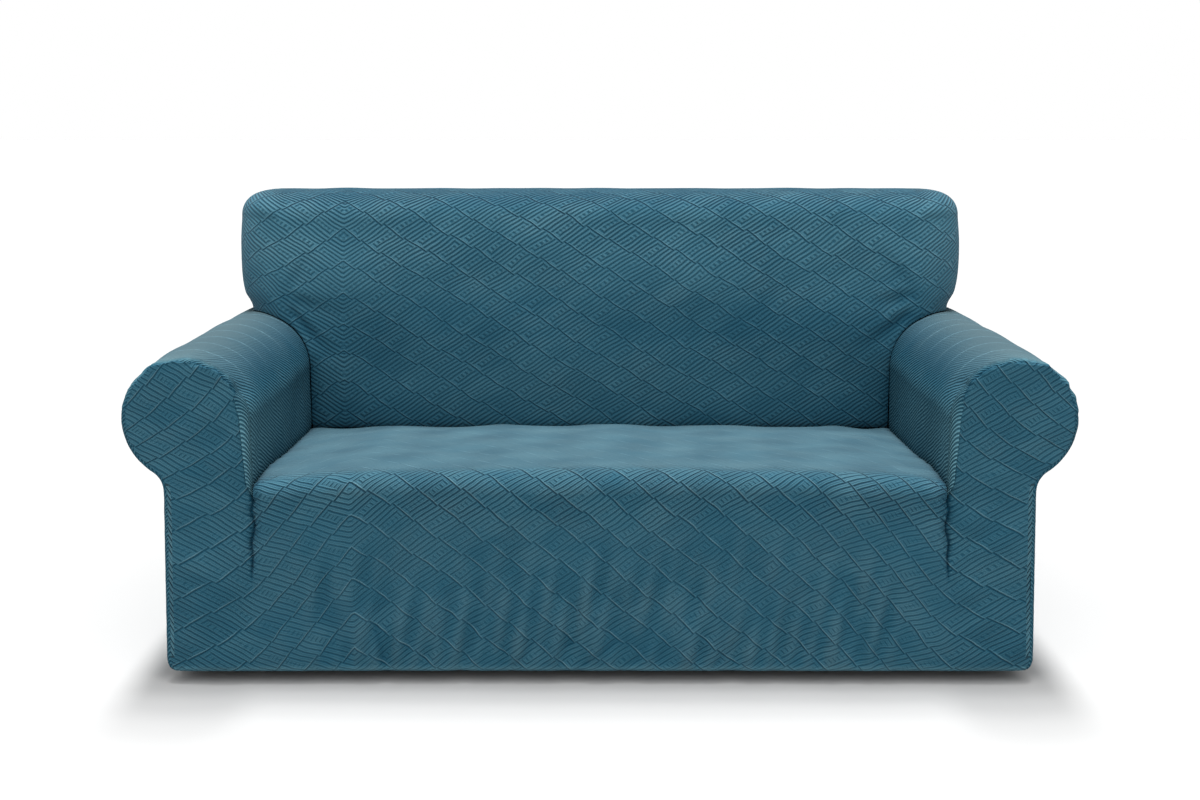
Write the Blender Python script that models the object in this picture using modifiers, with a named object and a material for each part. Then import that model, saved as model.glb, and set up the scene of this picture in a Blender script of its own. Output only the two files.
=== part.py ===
"""Stretch slipcover in the shape it takes on a two-seat sofa with rolled arms.

Metres, +Z up, front towards -Y, +X on the viewer's right. The underside of the hem is at Z = 0 and
the origin is the middle of the footprint. The section rules below measure u outwards from the middle
plane and y backwards from the front face, and to_world() places them. Every piece is one open surface,
lofted from those rules, with the cloth's thickness added on its inner side.
"""
from collections import namedtuple
from math import acos, cos, degrees, exp, hypot, pi, sin, sqrt

import bmesh
import bpy
from mathutils import Vector

# ---------------------------------------------------------------- driving dimensions
CLOTH = 0.002            # thickness of the stretch cloth
SEAM = 0.0003            # clearance between two pieces that are sewn together
DEPTH = 0.880            # front face to rear face
HALF_INNER = 0.648       # inner face of an arm
HALF_NECK = 0.815        # outer face just under the roll
HALF_SIDE = 0.827        # outer face at the hem
SEAT_DEPTH = 0.600       # front face to the crease under the back

HEM_RADIUS = 0.012       # the hem curls under the base
HEM_RETURN = 0.030       # and reaches this far in

ROLL_RADIUS = 0.119
ROLL_X = HALF_INNER + ROLL_RADIUS
ROLL_Z = 0.488
NECK_FILLET = 0.045      # hollow between the roll and the outer side
CORNER = 0.014           # depth of the soft corner behind a seam
CORNER_LEAST = 0.002     # and at the hem's inner edge
EDGE_SETBACK = 0.002     # an arm front's edge lies this far behind the flat
LEAST_INSET = 0.0005     # of a seam inside the arm's outline
SIDE_SEAM_Z = 0.38       # under this height the scroll seam keeps one inset down the outer side
REAR_INSET = 0.008       # the rear seam lies this far inside the outer side
REAR_DRAW = 0.004        # the outside back is drawn in by this much in its middle

DART_TOP_Z = 0.336       # the dart starts under the seat's front corner
DART_END_Z = 0.185
DART_TOP_X = 0.6485
DART_FLARE = 0.014       # the dart's line leans out by this much down to the hem
DART_DEPTH = 0.010
DART_WIDTH = 0.014
DART_ONSET = 1.6         # the dart is fully deep before its top, by this factor
DART_FADE_Z = 0.376      # above this height the arm front's edge is back at the flat
DART_FADE = 0.04         # after a fade of this length
FRONT_FULLNESS = 0.25    # between its seams an arm front keeps this share of their set-back

EDGE_RADIUS_MIDDLE = 0.040   # front edge of the seat
EDGE_RADIUS_SIDE = 0.030

WING_BORDER_X = 0.717    # where the back's face starts to turn round the side
WING_TOP_Z = 0.815       # and where it starts to turn over the top
TOP_Z = 0.875
WING_CORNER = 0.85       # under 1, the top corner of the wing is fuller than an ellipse
LIFT = 0.0010            # the wings' lower edge rides this far off the arm's roll

# ---------------------------------------------------------------- shape tables
Height = namedtuple("Height", "y z")
DECK_SIDE = [Height(0.030, 0.366), Height(0.150, 0.370), Height(0.275, 0.362), Height(0.420, 0.357),
             Height(0.600, 0.352)]
DECK_MIDDLE = [Height(0.040, 0.390), Height(0.150, 0.392), Height(0.320, 0.388), Height(0.460, 0.379),
               Height(0.560, 0.364), Height(0.600, 0.352)]

Lean = namedtuple("Lean", "z y")
BACK_FACE = [Lean(0.340, 0.600), Lean(0.490, 0.602), Lean(0.600, 0.613), Lean(0.700, 0.632),
             Lean(0.815, 0.664)]

Wing = namedtuple("Wing", "z u")
WING_SIDE = [Wing(0.590, 0.806), Wing(0.630, 0.822), Wing(0.660, 0.830), Wing(0.700, 0.835),
             Wing(0.760, 0.837), Wing(0.815, 0.833)]

# The back's rim, from its face to the rear seam: how far out and how far back, as shares.
Rim = namedtuple("Rim", "out back")
RIM_SIDE = [Rim(0.00, 0.00), Rim(0.27, 0.05), Rim(0.51, 0.12), Rim(0.71, 0.21), Rim(0.85, 0.33),
            Rim(0.93, 0.52), Rim(0.975, 0.78), Rim(1.00, 1.00)]
RIM_TOP = [Rim(0.00, 0.00), Rim(0.38, 0.05), Rim(0.70, 0.15), Rim(0.90, 0.29), Rim(1.00, 0.48),
           Rim(1.00, 0.72), Rim(0.95, 0.92), Rim(0.84, 1.00)]

# How far the scroll seam lies inside the arm's outline, by height on the inner arm and by angle on the roll.
Inset = namedtuple("Inset", "place inset")
INNER_INSET = [Inset(0.336, 0.0005), Inset(0.354, 0.003), Inset(0.376, 0.010), Inset(0.405, 0.012),
               Inset(0.445, 0.015), Inset(0.488, 0.017)]
ROLL_INSET = [Inset(-61.0, 0.010), Inset(0.0, 0.009), Inset(45.0, 0.006), Inset(62.0, 0.003),
              Inset(84.0, 0.007), Inset(105.0, 0.008), Inset(130.0, 0.006), Inset(154.0, 0.010),
              Inset(165.0, 0.018), Inset(180.0, 0.017)]

# Soft gathers that run back over the roll from the scroll seam.
GATHER_WIDTH = 9.0       # degrees
Gather = namedtuple("Gather", "angle depth length")
GATHERS = {
    -1: [Gather(152.0, 0.005, 0.09), Gather(118.0, 0.003, 0.06), Gather(84.0, 0.004, 0.07),
         Gather(40.0, 0.002, 0.05)],
    1: [Gather(146.0, 0.004, 0.08), Gather(104.0, 0.004, 0.07), Gather(80.0, 0.003, 0.05),
        Gather(52.0, 0.003, 0.06)],
}

# Ripples of the apron: where a trough meets the hem, how it leans, its height, depth and width.
RIPPLE_FADE = 1.35       # height at which a ripple has gone, as a share of its own
Ripple = namedtuple("Ripple", "x lean height depth width")
RIPPLES = [
    Ripple(-0.530, 0.010, 0.16, 0.0025, 0.030), Ripple(-0.395, -0.020, 0.26, 0.0040, 0.036),
    Ripple(-0.262, 0.012, 0.30, 0.0045, 0.030), Ripple(-0.168, 0.018, 0.24, 0.0035, 0.026),
    Ripple(-0.060, 0.030, 0.28, 0.0040, 0.034), Ripple(0.058, 0.050, 0.22, 0.0035, 0.032),
    Ripple(0.152, 0.028, 0.30, 0.0045, 0.028), Ripple(0.246, 0.040, 0.25, 0.0040, 0.030),
    Ripple(0.345, 0.055, 0.20, 0.0035, 0.034), Ripple(0.470, 0.018, 0.24, 0.0030, 0.036),
]

# Pulls that run over the back's face from where it meets an arm: start, end, depth and width.
Pull = namedtuple("Pull", "side x0 z0 x1 z1 depth width")
PULLS = [
    Pull(-1, 0.690, 0.610, 0.590, 0.505, 0.007, 0.020), Pull(-1, 0.700, 0.640, 0.560, 0.600, 0.005, 0.024),
    Pull(-1, 0.705, 0.665, 0.640, 0.745, 0.004, 0.026), Pull(1, 0.690, 0.605, 0.570, 0.520, 0.007, 0.022),
    Pull(1, 0.700, 0.645, 0.600, 0.625, 0.006, 0.020), Pull(1, 0.700, 0.670, 0.610, 0.760, 0.004, 0.028),
]

# Shallow hollows of the seat and the back, where the cloth isn't quite tight. They fade out
# over these lengths towards the seat's crease and towards the turn round the back's side.
CREASE_FADE = 0.10
CREASE_Z = 0.36
BORDER_FADE = 0.06
Hollow = namedtuple("Hollow", "x place depth radius")
SEAT_HOLLOWS = [Hollow(-0.330, 0.300, 0.0040, 0.170), Hollow(0.290, 0.330, 0.0050, 0.190),
                Hollow(0.020, 0.420, -0.0030, 0.120)]
BACK_HOLLOWS = [Hollow(-0.280, 0.640, 0.0050, 0.160), Hollow(0.230, 0.600, 0.0060, 0.190),
                Hollow(0.500, 0.720, 0.0040, 0.120), Hollow(-0.520, 0.560, 0.0040, 0.110)]

# ---------------------------------------------------------------- mesh steps
HEM_STEPS = 3
APRON_STEPS = 9
EDGE_STEPS = 4
DECK_STEPS = 6
INNER_STEPS = 4
SIDE_STEPS = 6
NECK_STEPS = 2
ROLL_INNER_STEPS = 5
ROLL_OUTER_STEPS = 8
BODY_STEPS = 9
BACK_COLUMNS = 24
LOWER_BACK_STEPS = 3
UPPER_BACK_STEPS = 6
CORNER_STEPS = 4
REAR_COLUMNS = 10
REAR_INSET_STEPS = 3     # stations over which the rear seam moves in, from the wing's foot
APRON_COLUMNS = 30
APRON_SIDE_SHARES = [0.955, 0.984, 1.0]      # columns beside a dart, as shares of the half width
BODY_SPREAD = 1.25       # over 1, a sleeve's rows lie closer together near its front
SCROLL_SHARES = [0.0, 0.08, 0.25, 0.5, 0.75, 0.92, 1.0]

REAR_SEAM_Y = DEPTH - CLOTH - SEAM
NECK_ANGLE = -acos((HALF_NECK + NECK_FILLET - ROLL_X) / (ROLL_RADIUS + NECK_FILLET))

# One point of an arm's outline: its place, outward normal, and how far it has turned under the base.
Station = namedtuple("Station", "u z nu nz under")

# One point of the back's lower edge on an arm: its place and its angle round the arm's roll.
Foot = namedtuple("Foot", "u y z angle")

CLOTH_COLOUR = (0.036, 0.097, 0.136, 1.0)


# ---------------------------------------------------------------- small helpers
def steps(first, last, count):
    """count + 1 evenly spaced values."""
    return [first + (last - first) * i / count for i in range(count + 1)]


def mix(a, b, share):
    return a + (b - a) * share


def smooth(share):
    share = min(1.0, max(0.0, share))
    return share * share * (3.0 - 2.0 * share)


def curve(table, place):
    """Smooth value at a place, through a table whose rows hold (place, value)."""
    if place <= table[0][0]:
        return table[0][1]
    if place >= table[-1][0]:
        return table[-1][1]
    i = max(k for k in range(len(table) - 1) if table[k][0] <= place)

    def slope(k):
        low, high = table[max(k - 1, 0)], table[min(k + 1, len(table) - 1)]
        return (high[1] - low[1]) / (high[0] - low[0])

    width = table[i + 1][0] - table[i][0]
    t = (place - table[i][0]) / width
    h00 = (1 + 2 * t) * (1 - t) ** 2
    h10 = t * (1 - t) ** 2
    h01 = t * t * (3 - 2 * t)
    h11 = t * t * (t - 1)
    return h00 * table[i][1] + h10 * width * slope(i) + h01 * table[i + 1][1] + h11 * width * slope(i + 1)


def bump(distance, width):
    return exp(-(distance / width) ** 2)


def to_world(x, y, z):
    return Vector((x, y - DEPTH / 2, z))


# ---------------------------------------------------------------- section rules
def dart_x(z):
    """Half width of the apron at height z, which is where the dart's line runs."""
    return DART_TOP_X + DART_FLARE * (1.0 - min(z, DART_TOP_Z) / DART_TOP_Z)


def dart_depth(z):
    """How far the dart draws the cloth in at height z."""
    return DART_DEPTH * smooth((z - DART_END_Z) / (DART_TOP_Z - DART_END_Z) * DART_ONSET)


def hem_rows():
    """(under, z) of the hem, from its inner edge round to the foot of the upright cloth."""
    curl = [(HEM_RADIUS * (1 - cos(a)), HEM_RADIUS * (1 - sin(a))) for a in steps(pi / 2, 0, HEM_STEPS)]
    return [(HEM_RETURN, 0.0)] + curl


def deck_side(y):
    """Height of the seat's side edge, with the round of its front edge."""
    if y < EDGE_RADIUS_SIDE:
        drop = EDGE_RADIUS_SIDE - y
        return DECK_SIDE[0].z - EDGE_RADIUS_SIDE + sqrt(max(0.0, EDGE_RADIUS_SIDE ** 2 - drop ** 2))
    return curve(DECK_SIDE, y)


def crown(x):
    """1 over the middle of the seat, falling to 0 at the arms."""
    return 1.0 - min(1.0, abs(x) / HALF_INNER) ** 4


def deck(x, y):
    height = mix(curve(DECK_SIDE, y), curve(DECK_MIDDLE, y), crown(x))
    free = crown(x) * smooth((SEAT_DEPTH - y) / CREASE_FADE)
    for hollow in SEAT_HOLLOWS:
        height -= free * hollow.depth * bump(hypot(x - hollow.x, y - hollow.place), hollow.radius)
    return height


def ripple_depth(x, z):
    """How far the apron's ripples draw it in at (x, z)."""
    depth = 0.0
    for ripple in RIPPLES:
        along = z / ripple.height
        offset = x - ripple.x - ripple.lean * along
        depth += ripple.depth * bump(offset, ripple.width) * smooth(RIPPLE_FADE - along)
    return depth


def back_face(x, z):
    """Depth of the back's front face."""
    y = curve(BACK_FACE, z)
    free = smooth((z - CREASE_Z) / CREASE_FADE) * smooth((WING_BORDER_X - abs(x)) / BORDER_FADE)
    for hollow in BACK_HOLLOWS:
        y += free * hollow.depth * bump(hypot(x - hollow.x, z - hollow.place), hollow.radius)
    for pull in PULLS:
        y += free * pull_depth(pull, x, z)
    return y


def pull_depth(pull, x, z):
    run = Vector((pull.side * (pull.x1 - pull.x0), pull.z1 - pull.z0))
    offset = Vector((x - pull.side * pull.x0, z - pull.z0))
    share = min(1.0, max(0.0, offset.dot(run) / run.length_squared))
    return pull.depth * (1.0 - share) * bump((offset - share * run).length, pull.width)


def roll_angle(u):
    """Angle round the roll at which its upper surface, lifted by LIFT, passes u."""
    return acos((u - ROLL_X) / (ROLL_RADIUS + LIFT))


def wing_foot():
    """Back's lower edge where it stands on an arm, from the inner arm to the rear seam."""
    foot = []
    for angle in steps(pi, roll_angle(WING_BORDER_X), ROLL_INNER_STEPS):
        u = ROLL_X + (ROLL_RADIUS + LIFT) * cos(angle)
        z = ROLL_Z + (ROLL_RADIUS + LIFT) * sin(angle)
        foot.append(Foot(max(u, HALF_INNER - SEAM), curve(BACK_FACE, z), z, angle))
    face_y = foot[-1].y
    reach = WING_SIDE[0].u - WING_BORDER_X
    for rim in RIM_SIDE[1:]:
        u = WING_BORDER_X + reach * rim.out
        angle = roll_angle(u)
        z = ROLL_Z + (ROLL_RADIUS + LIFT) * sin(angle)
        foot.append(Foot(u, mix(face_y, REAR_SEAM_Y, rim.back), z, angle))
    return foot


def arm_outline(y):
    """Stations of an arm's section at depth y, from the seat over the roll to the hem's inner edge."""
    low = deck_side(y) - CLOTH
    stations = [Station(HALF_INNER, z, -1.0, 0.0, 0.0) for z in steps(low, ROLL_Z, INNER_STEPS)]
    angles = [foot.angle for foot in wing_foot()[1:]]
    angles += steps(angles[-1], NECK_ANGLE, ROLL_OUTER_STEPS)[1:]
    for a in angles:
        out, up = cos(a), sin(a)
        stations.append(Station(ROLL_X + ROLL_RADIUS * out, ROLL_Z + ROLL_RADIUS * up, out, up, 0.0))
    fillet_z = ROLL_Z + (ROLL_RADIUS + NECK_FILLET) * sin(NECK_ANGLE)
    for a in steps(pi + NECK_ANGLE, pi, NECK_STEPS)[1:]:
        u = HALF_NECK + NECK_FILLET * (1 + cos(a))
        stations.append(Station(u, fillet_z + NECK_FILLET * sin(a), -cos(a), -sin(a), 0.0))
    for z in steps(fillet_z, HEM_RADIUS, SIDE_STEPS)[1:]:
        share = (fillet_z - z) / (fillet_z - HEM_RADIUS)
        stations.append(Station(mix(HALF_NECK, HALF_SIDE, share), z, 1.0, 0.0, 0.0))
    for under, z in reversed(hem_rows()[:-1]):
        stations.append(Station(HALF_SIDE - under, z, 1.0, 0.0, under))
    return stations


FOOT = wing_foot()
FIRST_ROLL = INNER_STEPS + 1                     # first station past the inner arm
FOOT_END = INNER_STEPS + len(FOOT) - 1           # station where the wing's foot reaches the rear
TOP_STATION = INNER_STEPS + ROLL_INNER_STEPS + 2 # near the top of the roll
LAST_ROLL = FOOT_END + ROLL_OUTER_STEPS          # last station of the roll
LAST_STATION = len(arm_outline(CLOTH)) - 1


def facing_angle(station):
    """Angle in degrees that a station faces: 180 to the seat, 90 up, 0 outwards."""
    angle = degrees(acos(max(-1.0, min(1.0, station.nu))))
    return angle if station.nz >= 0.0 else -angle


def seam_inset(station, index):
    """How far inside the outline the front seam lies at a station."""
    if index < FIRST_ROLL:
        return curve(INNER_INSET, station.z)
    place = facing_angle(station)
    inset = curve(ROLL_INSET, place) if station.z > SIDE_SEAM_Z else ROLL_INSET[0].inset
    return max(LEAST_INSET, inset - station.under)


def seam_y(station, index):
    """Depth of the arm front's edge at a station: a little behind the flat, and drawn in at the dart."""
    if index < FIRST_ROLL:
        return mix(EDGE_SETBACK, DART_DEPTH, smooth((DART_FADE_Z - station.z) / DART_FADE))
    return EDGE_SETBACK + station.under


def corner_depth(station):
    """Depth of the sleeve's soft corner behind the front seam."""
    return max(CORNER_LEAST, CORNER - station.under)


def piece_clearance(station):
    """How far a sleeve's edge lies behind the panel that covers it, more where the hem curls under."""
    return CLOTH + SEAM + (CLOTH if station.under > 0.0 else 0.0)


def seam_point(station, index):
    """(u, y, z) of the scroll seam at a station of the outline."""
    inset = seam_inset(station, index)
    return station.u - inset * station.nu, seam_y(station, index), station.z - inset * station.nz


# ---------------------------------------------------------------- making a piece
def add_grid(mesh, rows):
    """Quads between rows of points. Columns run to the right and rows up or back, seen from outside."""
    verts = [[mesh.verts.new(point) for point in row] for row in rows]
    for lower, upper in zip(verts, verts[1:]):
        for k in range(len(lower) - 1):
            mesh.faces.new((lower[k], lower[k + 1], upper[k + 1], upper[k]))


def cloth_piece(name, grids, collection, root):
    """One object from grids that share their edges, with the cloth's thickness on the inner side."""
    mesh = bmesh.new()
    for rows in grids:
        add_grid(mesh, rows)
    bmesh.ops.remove_doubles(mesh, verts=mesh.verts, dist=0.00005)
    data = bpy.data.meshes.new(name)
    mesh.to_mesh(data)
    mesh.free()
    data.shade_smooth()
    piece = bpy.data.objects.new(name, data)
    piece.data.materials.append(cloth_material(name + "_cloth"))
    thickness = piece.modifiers.new("cloth", "SOLIDIFY")
    thickness.thickness = CLOTH
    thickness.offset = -1.0
    collection.objects.link(piece)
    piece.parent = root
    return piece


def cloth_material(name):
    material = bpy.data.materials.new(name)
    material.use_nodes = True
    shader = material.node_tree.nodes["Principled BSDF"]
    shader.inputs["Base Color"].default_value = CLOTH_COLOUR
    shader.inputs["Roughness"].default_value = 0.88
    shader.inputs["Metallic"].default_value = 0.0
    return material


def facing(side, row):
    """Row of a mirrored grid, kept in the order that faces it outwards."""
    return row if side > 0 else row[::-1]


# ---------------------------------------------------------------- seat, apron and arm fronts
def apron_rows():
    """(under, z) of the apron at its sides, from the hem's inner edge to the top of the dart."""
    return hem_rows() + [(0.0, z) for z in steps(HEM_RADIUS, DART_TOP_Z, APRON_STEPS)[1:]]


def apron_columns():
    """Shares of the half width, closer together beside the darts."""
    side = APRON_SIDE_SHARES
    return [-share for share in side[:0:-1]] + steps(-side[0], side[0], APRON_COLUMNS) + side[1:]


def apron_and_seat():
    rows = []
    for under, z in apron_rows():
        row = []
        for share in apron_columns():
            x = share * dart_x(z)
            edge_z = DECK_SIDE[0].z - EDGE_RADIUS_SIDE
            middle_z = DECK_MIDDLE[0].z - EDGE_RADIUS_MIDDLE
            lift = mix(edge_z, middle_z, crown(x)) / edge_z
            high = z if z <= HEM_RADIUS else z * mix(1.0, lift, smooth(z / DART_TOP_Z))
            drawn = dart_depth(z) * bump(dart_x(z) - abs(x), DART_WIDTH)
            row.append(to_world(x, under + drawn + ripple_depth(x, high), high))
        rows.append(row)
    for angle in steps(0, pi / 2, EDGE_STEPS)[1:]:
        row = []
        for share in apron_columns():
            x = share * (HALF_INNER - SEAM)
            radius = mix(EDGE_RADIUS_SIDE, EDGE_RADIUS_MIDDLE, crown(x))
            top = deck(x, radius)
            draw = DART_DEPTH * bump(HALF_INNER - abs(x), DART_WIDTH) * max(0.0, 1 - angle / (pi / 3))
            row.append(to_world(x, radius * (1 - cos(angle)) + draw, top - radius * (1 - sin(angle))))
        rows.append(row)
    for share_back in steps(0, 1, DECK_STEPS)[1:]:
        row = []
        for share in apron_columns():
            x = share * (HALF_INNER - SEAM)
            radius = mix(EDGE_RADIUS_SIDE, EDGE_RADIUS_MIDDLE, crown(x))
            y = mix(radius, SEAT_DEPTH - SEAM, share_back)
            row.append(to_world(x, y, deck(x, y)))
        rows.append(row)
    return rows


def arm_front(side):
    """Scroll and post of one arm's front, from the dart's line to the outer side."""
    inner = [(dart_x(z), under + dart_depth(z), z) for under, z in apron_rows()]
    outline = arm_outline(CLOTH)
    inner += [seam_point(outline[k], k) for k in range(TOP_STATION + 1)]
    outer = [seam_point(outline[k], k) for k in range(LAST_STATION, TOP_STATION - 1, -1)]
    rows = []
    for start, end in zip(inner, outer, strict=True):
        row = []
        for share in SCROLL_SHARES:
            y = mix(start[1], end[1], share)
            if 0.0 < share < 1.0 and start[2] > HEM_RADIUS:
                y *= FRONT_FULLNESS
            row.append(to_world(side * mix(start[0], end[0], share), y, mix(start[2], end[2], share)))
        rows.append(facing(side, row))
    return rows


# ---------------------------------------------------------------- arm sleeves
def gather_depth(side, station, y):
    """How far the gathers behind the scroll seam draw the roll in."""
    angle = facing_angle(station)
    depth = 0.0
    for gather in GATHERS[side]:
        depth += gather.depth * bump(angle - gather.angle, GATHER_WIDTH) * smooth(1.0 - y / gather.length)
    return depth


def sleeve_end(index, z):
    """Depth at which the sleeve stops, under the back's lower edge or at the rear seam."""
    if index < FIRST_ROLL:
        return curve(BACK_FACE, z) + CLOTH
    if index < FOOT_END:
        return FOOT[index - INNER_STEPS].y + CLOTH
    return REAR_SEAM_Y


def arm_sleeve(side):
    """Rows run back from the front seam, columns over the arm from the seat crease to the hem."""
    front = arm_outline(CLOTH)
    corner = [(sin(a), 1 - cos(a)) for a in (0.0, pi / 4, pi / 2)]
    rows = []
    for out, back in corner:
        row = []
        for k, station in enumerate(front):
            inset = seam_inset(station, k) * (1 - out)
            y = seam_y(station, k) + piece_clearance(station) + corner_depth(station) * back
            place = arm_outline(y)[k]
            row.append(to_world(side * (place.u - inset * place.nu), y, place.z - inset * place.nz))
        rows.append(facing(side, row))
    for share in steps(0, 1, BODY_STEPS)[1:]:
        row = []
        for k, station in enumerate(front):
            start = seam_y(station, k) + piece_clearance(station) + corner_depth(station)
            end = sleeve_end(k, station.z)
            if station.under > 0.0:
                end -= station.under + CLOTH
            y = mix(start, end, share ** BODY_SPREAD)
            place = arm_outline(y)[k]
            if k < FIRST_ROLL:
                y = mix(start, sleeve_end(k, place.z), share ** BODY_SPREAD)
            inset = rear_inset(k, station) if share == 1.0 else 0.0
            inset += gather_depth(side, station, y) if FIRST_ROLL <= k <= LAST_ROLL else 0.0
            row.append(to_world(side * (place.u - inset * place.nu), y, place.z - inset * place.nz))
        rows.append(facing(side, row))
    return rows


def rear_inset(index, station):
    """The rear corner of the outer side is drawn in a little."""
    free = smooth((index - FOOT_END) / REAR_INSET_STEPS)
    return max(LEAST_INSET, REAR_INSET - station.under) * free


# ---------------------------------------------------------------- back panels
def face_columns(share_up):
    """Signed x of the back's columns, at a share of the way up from the arms to the top border."""
    low = [foot.u for foot in FOOT[1:ROLL_INNER_STEPS + 1]]
    high = steps(HALF_INNER - SEAM, WING_BORDER_X, ROLL_INNER_STEPS)[1:]
    side = [mix(a, b, sqrt(share_up)) for a, b in zip(low, high)]
    middle = steps(-(HALF_INNER - SEAM), HALF_INNER - SEAM, BACK_COLUMNS)
    return [-u for u in reversed(side)] + middle + side


def upper_face():
    """The back's face from the height of the arms' tops to the start of its top edge."""
    side_feet = [foot.z for foot in FOOT[1:ROLL_INNER_STEPS + 1]]
    feet = side_feet[::-1] + [ROLL_Z] * (BACK_COLUMNS + 1) + side_feet
    rows = []
    for share_up in steps(0, 1, UPPER_BACK_STEPS):
        row = []
        for x, foot in zip(face_columns(share_up), feet, strict=True):
            z = mix(foot, WING_TOP_Z, share_up)
            y = curve(BACK_FACE, z) if share_up == 0.0 and foot != ROLL_Z else back_face(x, z)
            row.append(to_world(x, y, z))
        rows.append(row)
    return rows


def lower_face():
    """The back's face between the arms, down to the seat crease."""
    rows = []
    for z in steps(DECK_SIDE[-1].z - CLOTH, ROLL_Z, LOWER_BACK_STEPS):
        rows.append([to_world(x, back_face(x, z), z)
                     for x in steps(-(HALF_INNER - SEAM), HALF_INNER - SEAM, BACK_COLUMNS)])
    return rows


def rim_point(ring, border, turn):
    """Point of the rim on one ring. turn is 0 on the side wing, 90 degrees over the top edge."""
    x, face_y, z = border
    upright = sin(turn) ** 2
    side, top = RIM_SIDE[ring], RIM_TOP[ring]
    out = mix(side.out, top.out, upright)
    back = mix(side.back, top.back, upright)
    reach_side = curve(WING_SIDE, z) - WING_BORDER_X
    u = abs(x) + reach_side * out * max(0.0, cos(turn)) ** WING_CORNER
    rise = (TOP_Z - WING_TOP_Z) * out * sin(turn) ** WING_CORNER
    return u, mix(face_y, REAR_SEAM_Y, back), z + rise


def side_border():
    """(x, y, z) of the face's outer column, from the arm up, before its wing turns back."""
    foot = FOOT[ROLL_INNER_STEPS]
    return [(WING_BORDER_X, curve(BACK_FACE, z), z) for z in steps(foot.z, WING_TOP_Z, UPPER_BACK_STEPS)]


def rim_side_column(ring):
    """Points of one ring up the wing and round its top corner, on the right-hand side."""
    points = []
    border = side_border()
    foot = FOOT[ROLL_INNER_STEPS + ring]
    for k, place in enumerate(border):
        u, y, _ = rim_point(ring, place, 0.0)
        if k == 0:
            u, y = foot.u, foot.y
        points.append((u, y, mix(foot.z, WING_TOP_Z, k / UPPER_BACK_STEPS)))
    for turn in steps(0, pi / 2, CORNER_STEPS)[1:]:
        points.append(rim_point(ring, border[-1], turn))
    return points


def rim_band():
    """The back's side wings and top edge, as rings from its face to the rear seam."""
    top_columns = face_columns(1.0)[1:-1]
    rows = []
    for ring in range(len(RIM_SIDE)):
        right = rim_side_column(ring)
        left = [to_world(-u, y, z) for u, y, z in right]
        middle = []
        for x in top_columns:
            face = (x, back_face(x, WING_TOP_Z), WING_TOP_Z)
            _, y, z = rim_point(ring, face, pi / 2)
            middle.append(to_world(x, y, z))
        rows.append(left + middle + [to_world(*point) for point in reversed(right)])
    return rows


def rear_outline():
    """(u, under, z) up one side of the rear seam, from the hem's inner edge to the top corner."""
    outline = arm_outline(REAR_SEAM_Y)
    points = []
    for k in range(LAST_STATION, FOOT_END - 1, -1):
        station = outline[k]
        inset = rear_inset(k, station)
        points.append((station.u - inset * station.nu, station.under, station.z - inset * station.nz))
    return points + [(u, 0.0, z) for u, _, z in rim_side_column(len(RIM_SIDE) - 1)[1:]]


def outside_back():
    rows = []
    for u, under, z in rear_outline():
        row = []
        for x in steps(u, -u, REAR_COLUMNS):
            drawn = REAR_DRAW * sin(pi * z / TOP_Z) * (1 - (x / u) ** 2)
            row.append(to_world(x, DEPTH - under - drawn, z))
        rows.append(row)
    return rows


# ---------------------------------------------------------------- the cover
def build():
    for old in list(bpy.data.objects):
        bpy.data.objects.remove(old, do_unlink=True)
    cover = bpy.data.collections.new("sofa_slipcover")
    bpy.context.scene.collection.children.link(cover)
    root = bpy.data.objects.new("slipcover_origin", None)
    cover.objects.link(root)
    cloth_piece("seat_front_panel", [apron_and_seat(), arm_front(-1), arm_front(1)], cover, root)
    cloth_piece("arm_sleeve_left", [arm_sleeve(-1)], cover, root)
    cloth_piece("arm_sleeve_right", [arm_sleeve(1)], cover, root)
    cloth_piece("inside_back_panel", [lower_face(), upper_face(), rim_band()], cover, root)
    cloth_piece("outside_back_panel", [outside_back()], cover, root)


build()
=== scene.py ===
"""Looks of the sofa slipcover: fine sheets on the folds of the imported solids, a jacquard, studio and camera.

Metres, +Z up, front towards -Y. In the rules below x and z are the frame's own and y runs back from the
front face, as in the part's source, whose sizes and tables are repeated here. Grid moves them to the frame.
"""

from collections import namedtuple

import bpy
import numpy as np
from numpy import arccos, clip, concatenate, cos, hypot, linspace, maximum, minimum, pi, sin, sqrt
from numpy import where, zeros
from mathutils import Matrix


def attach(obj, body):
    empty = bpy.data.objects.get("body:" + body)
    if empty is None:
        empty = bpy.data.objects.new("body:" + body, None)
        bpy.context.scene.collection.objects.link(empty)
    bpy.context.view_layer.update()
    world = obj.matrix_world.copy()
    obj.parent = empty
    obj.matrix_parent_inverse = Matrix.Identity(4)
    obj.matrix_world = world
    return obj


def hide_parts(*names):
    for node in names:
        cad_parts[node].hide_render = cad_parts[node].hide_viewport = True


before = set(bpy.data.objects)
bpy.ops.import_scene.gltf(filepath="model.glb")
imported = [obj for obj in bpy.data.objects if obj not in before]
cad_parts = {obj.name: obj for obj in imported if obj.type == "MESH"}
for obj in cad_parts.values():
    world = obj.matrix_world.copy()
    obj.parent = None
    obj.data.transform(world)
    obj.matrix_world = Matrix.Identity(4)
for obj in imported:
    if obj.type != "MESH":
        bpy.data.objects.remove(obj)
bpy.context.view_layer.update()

# ---- sizes shared with the solids
CLOTH = 0.002
SEAM = 0.0003
DEPTH = 0.880
HALF_INNER = 0.648
HALF_NECK = 0.815
HALF_SIDE = 0.827
SEAT_DEPTH = 0.600
HEM_RADIUS = 0.012
HEM_RETURN = 0.030
FOOT_DRAW = 0.009        # how far the hem draws the outer sides in, and the height where that begins
FOOT_DRAW_Z = 0.028
ROLL_RADIUS = 0.119
ROLL_X = HALF_INNER + ROLL_RADIUS
ROLL_Z = 0.488
NECK_FILLET = 0.045
CORNER = 0.014
CORNER_LEAST = 0.002
EDGE_SETBACK = 0.002
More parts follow.
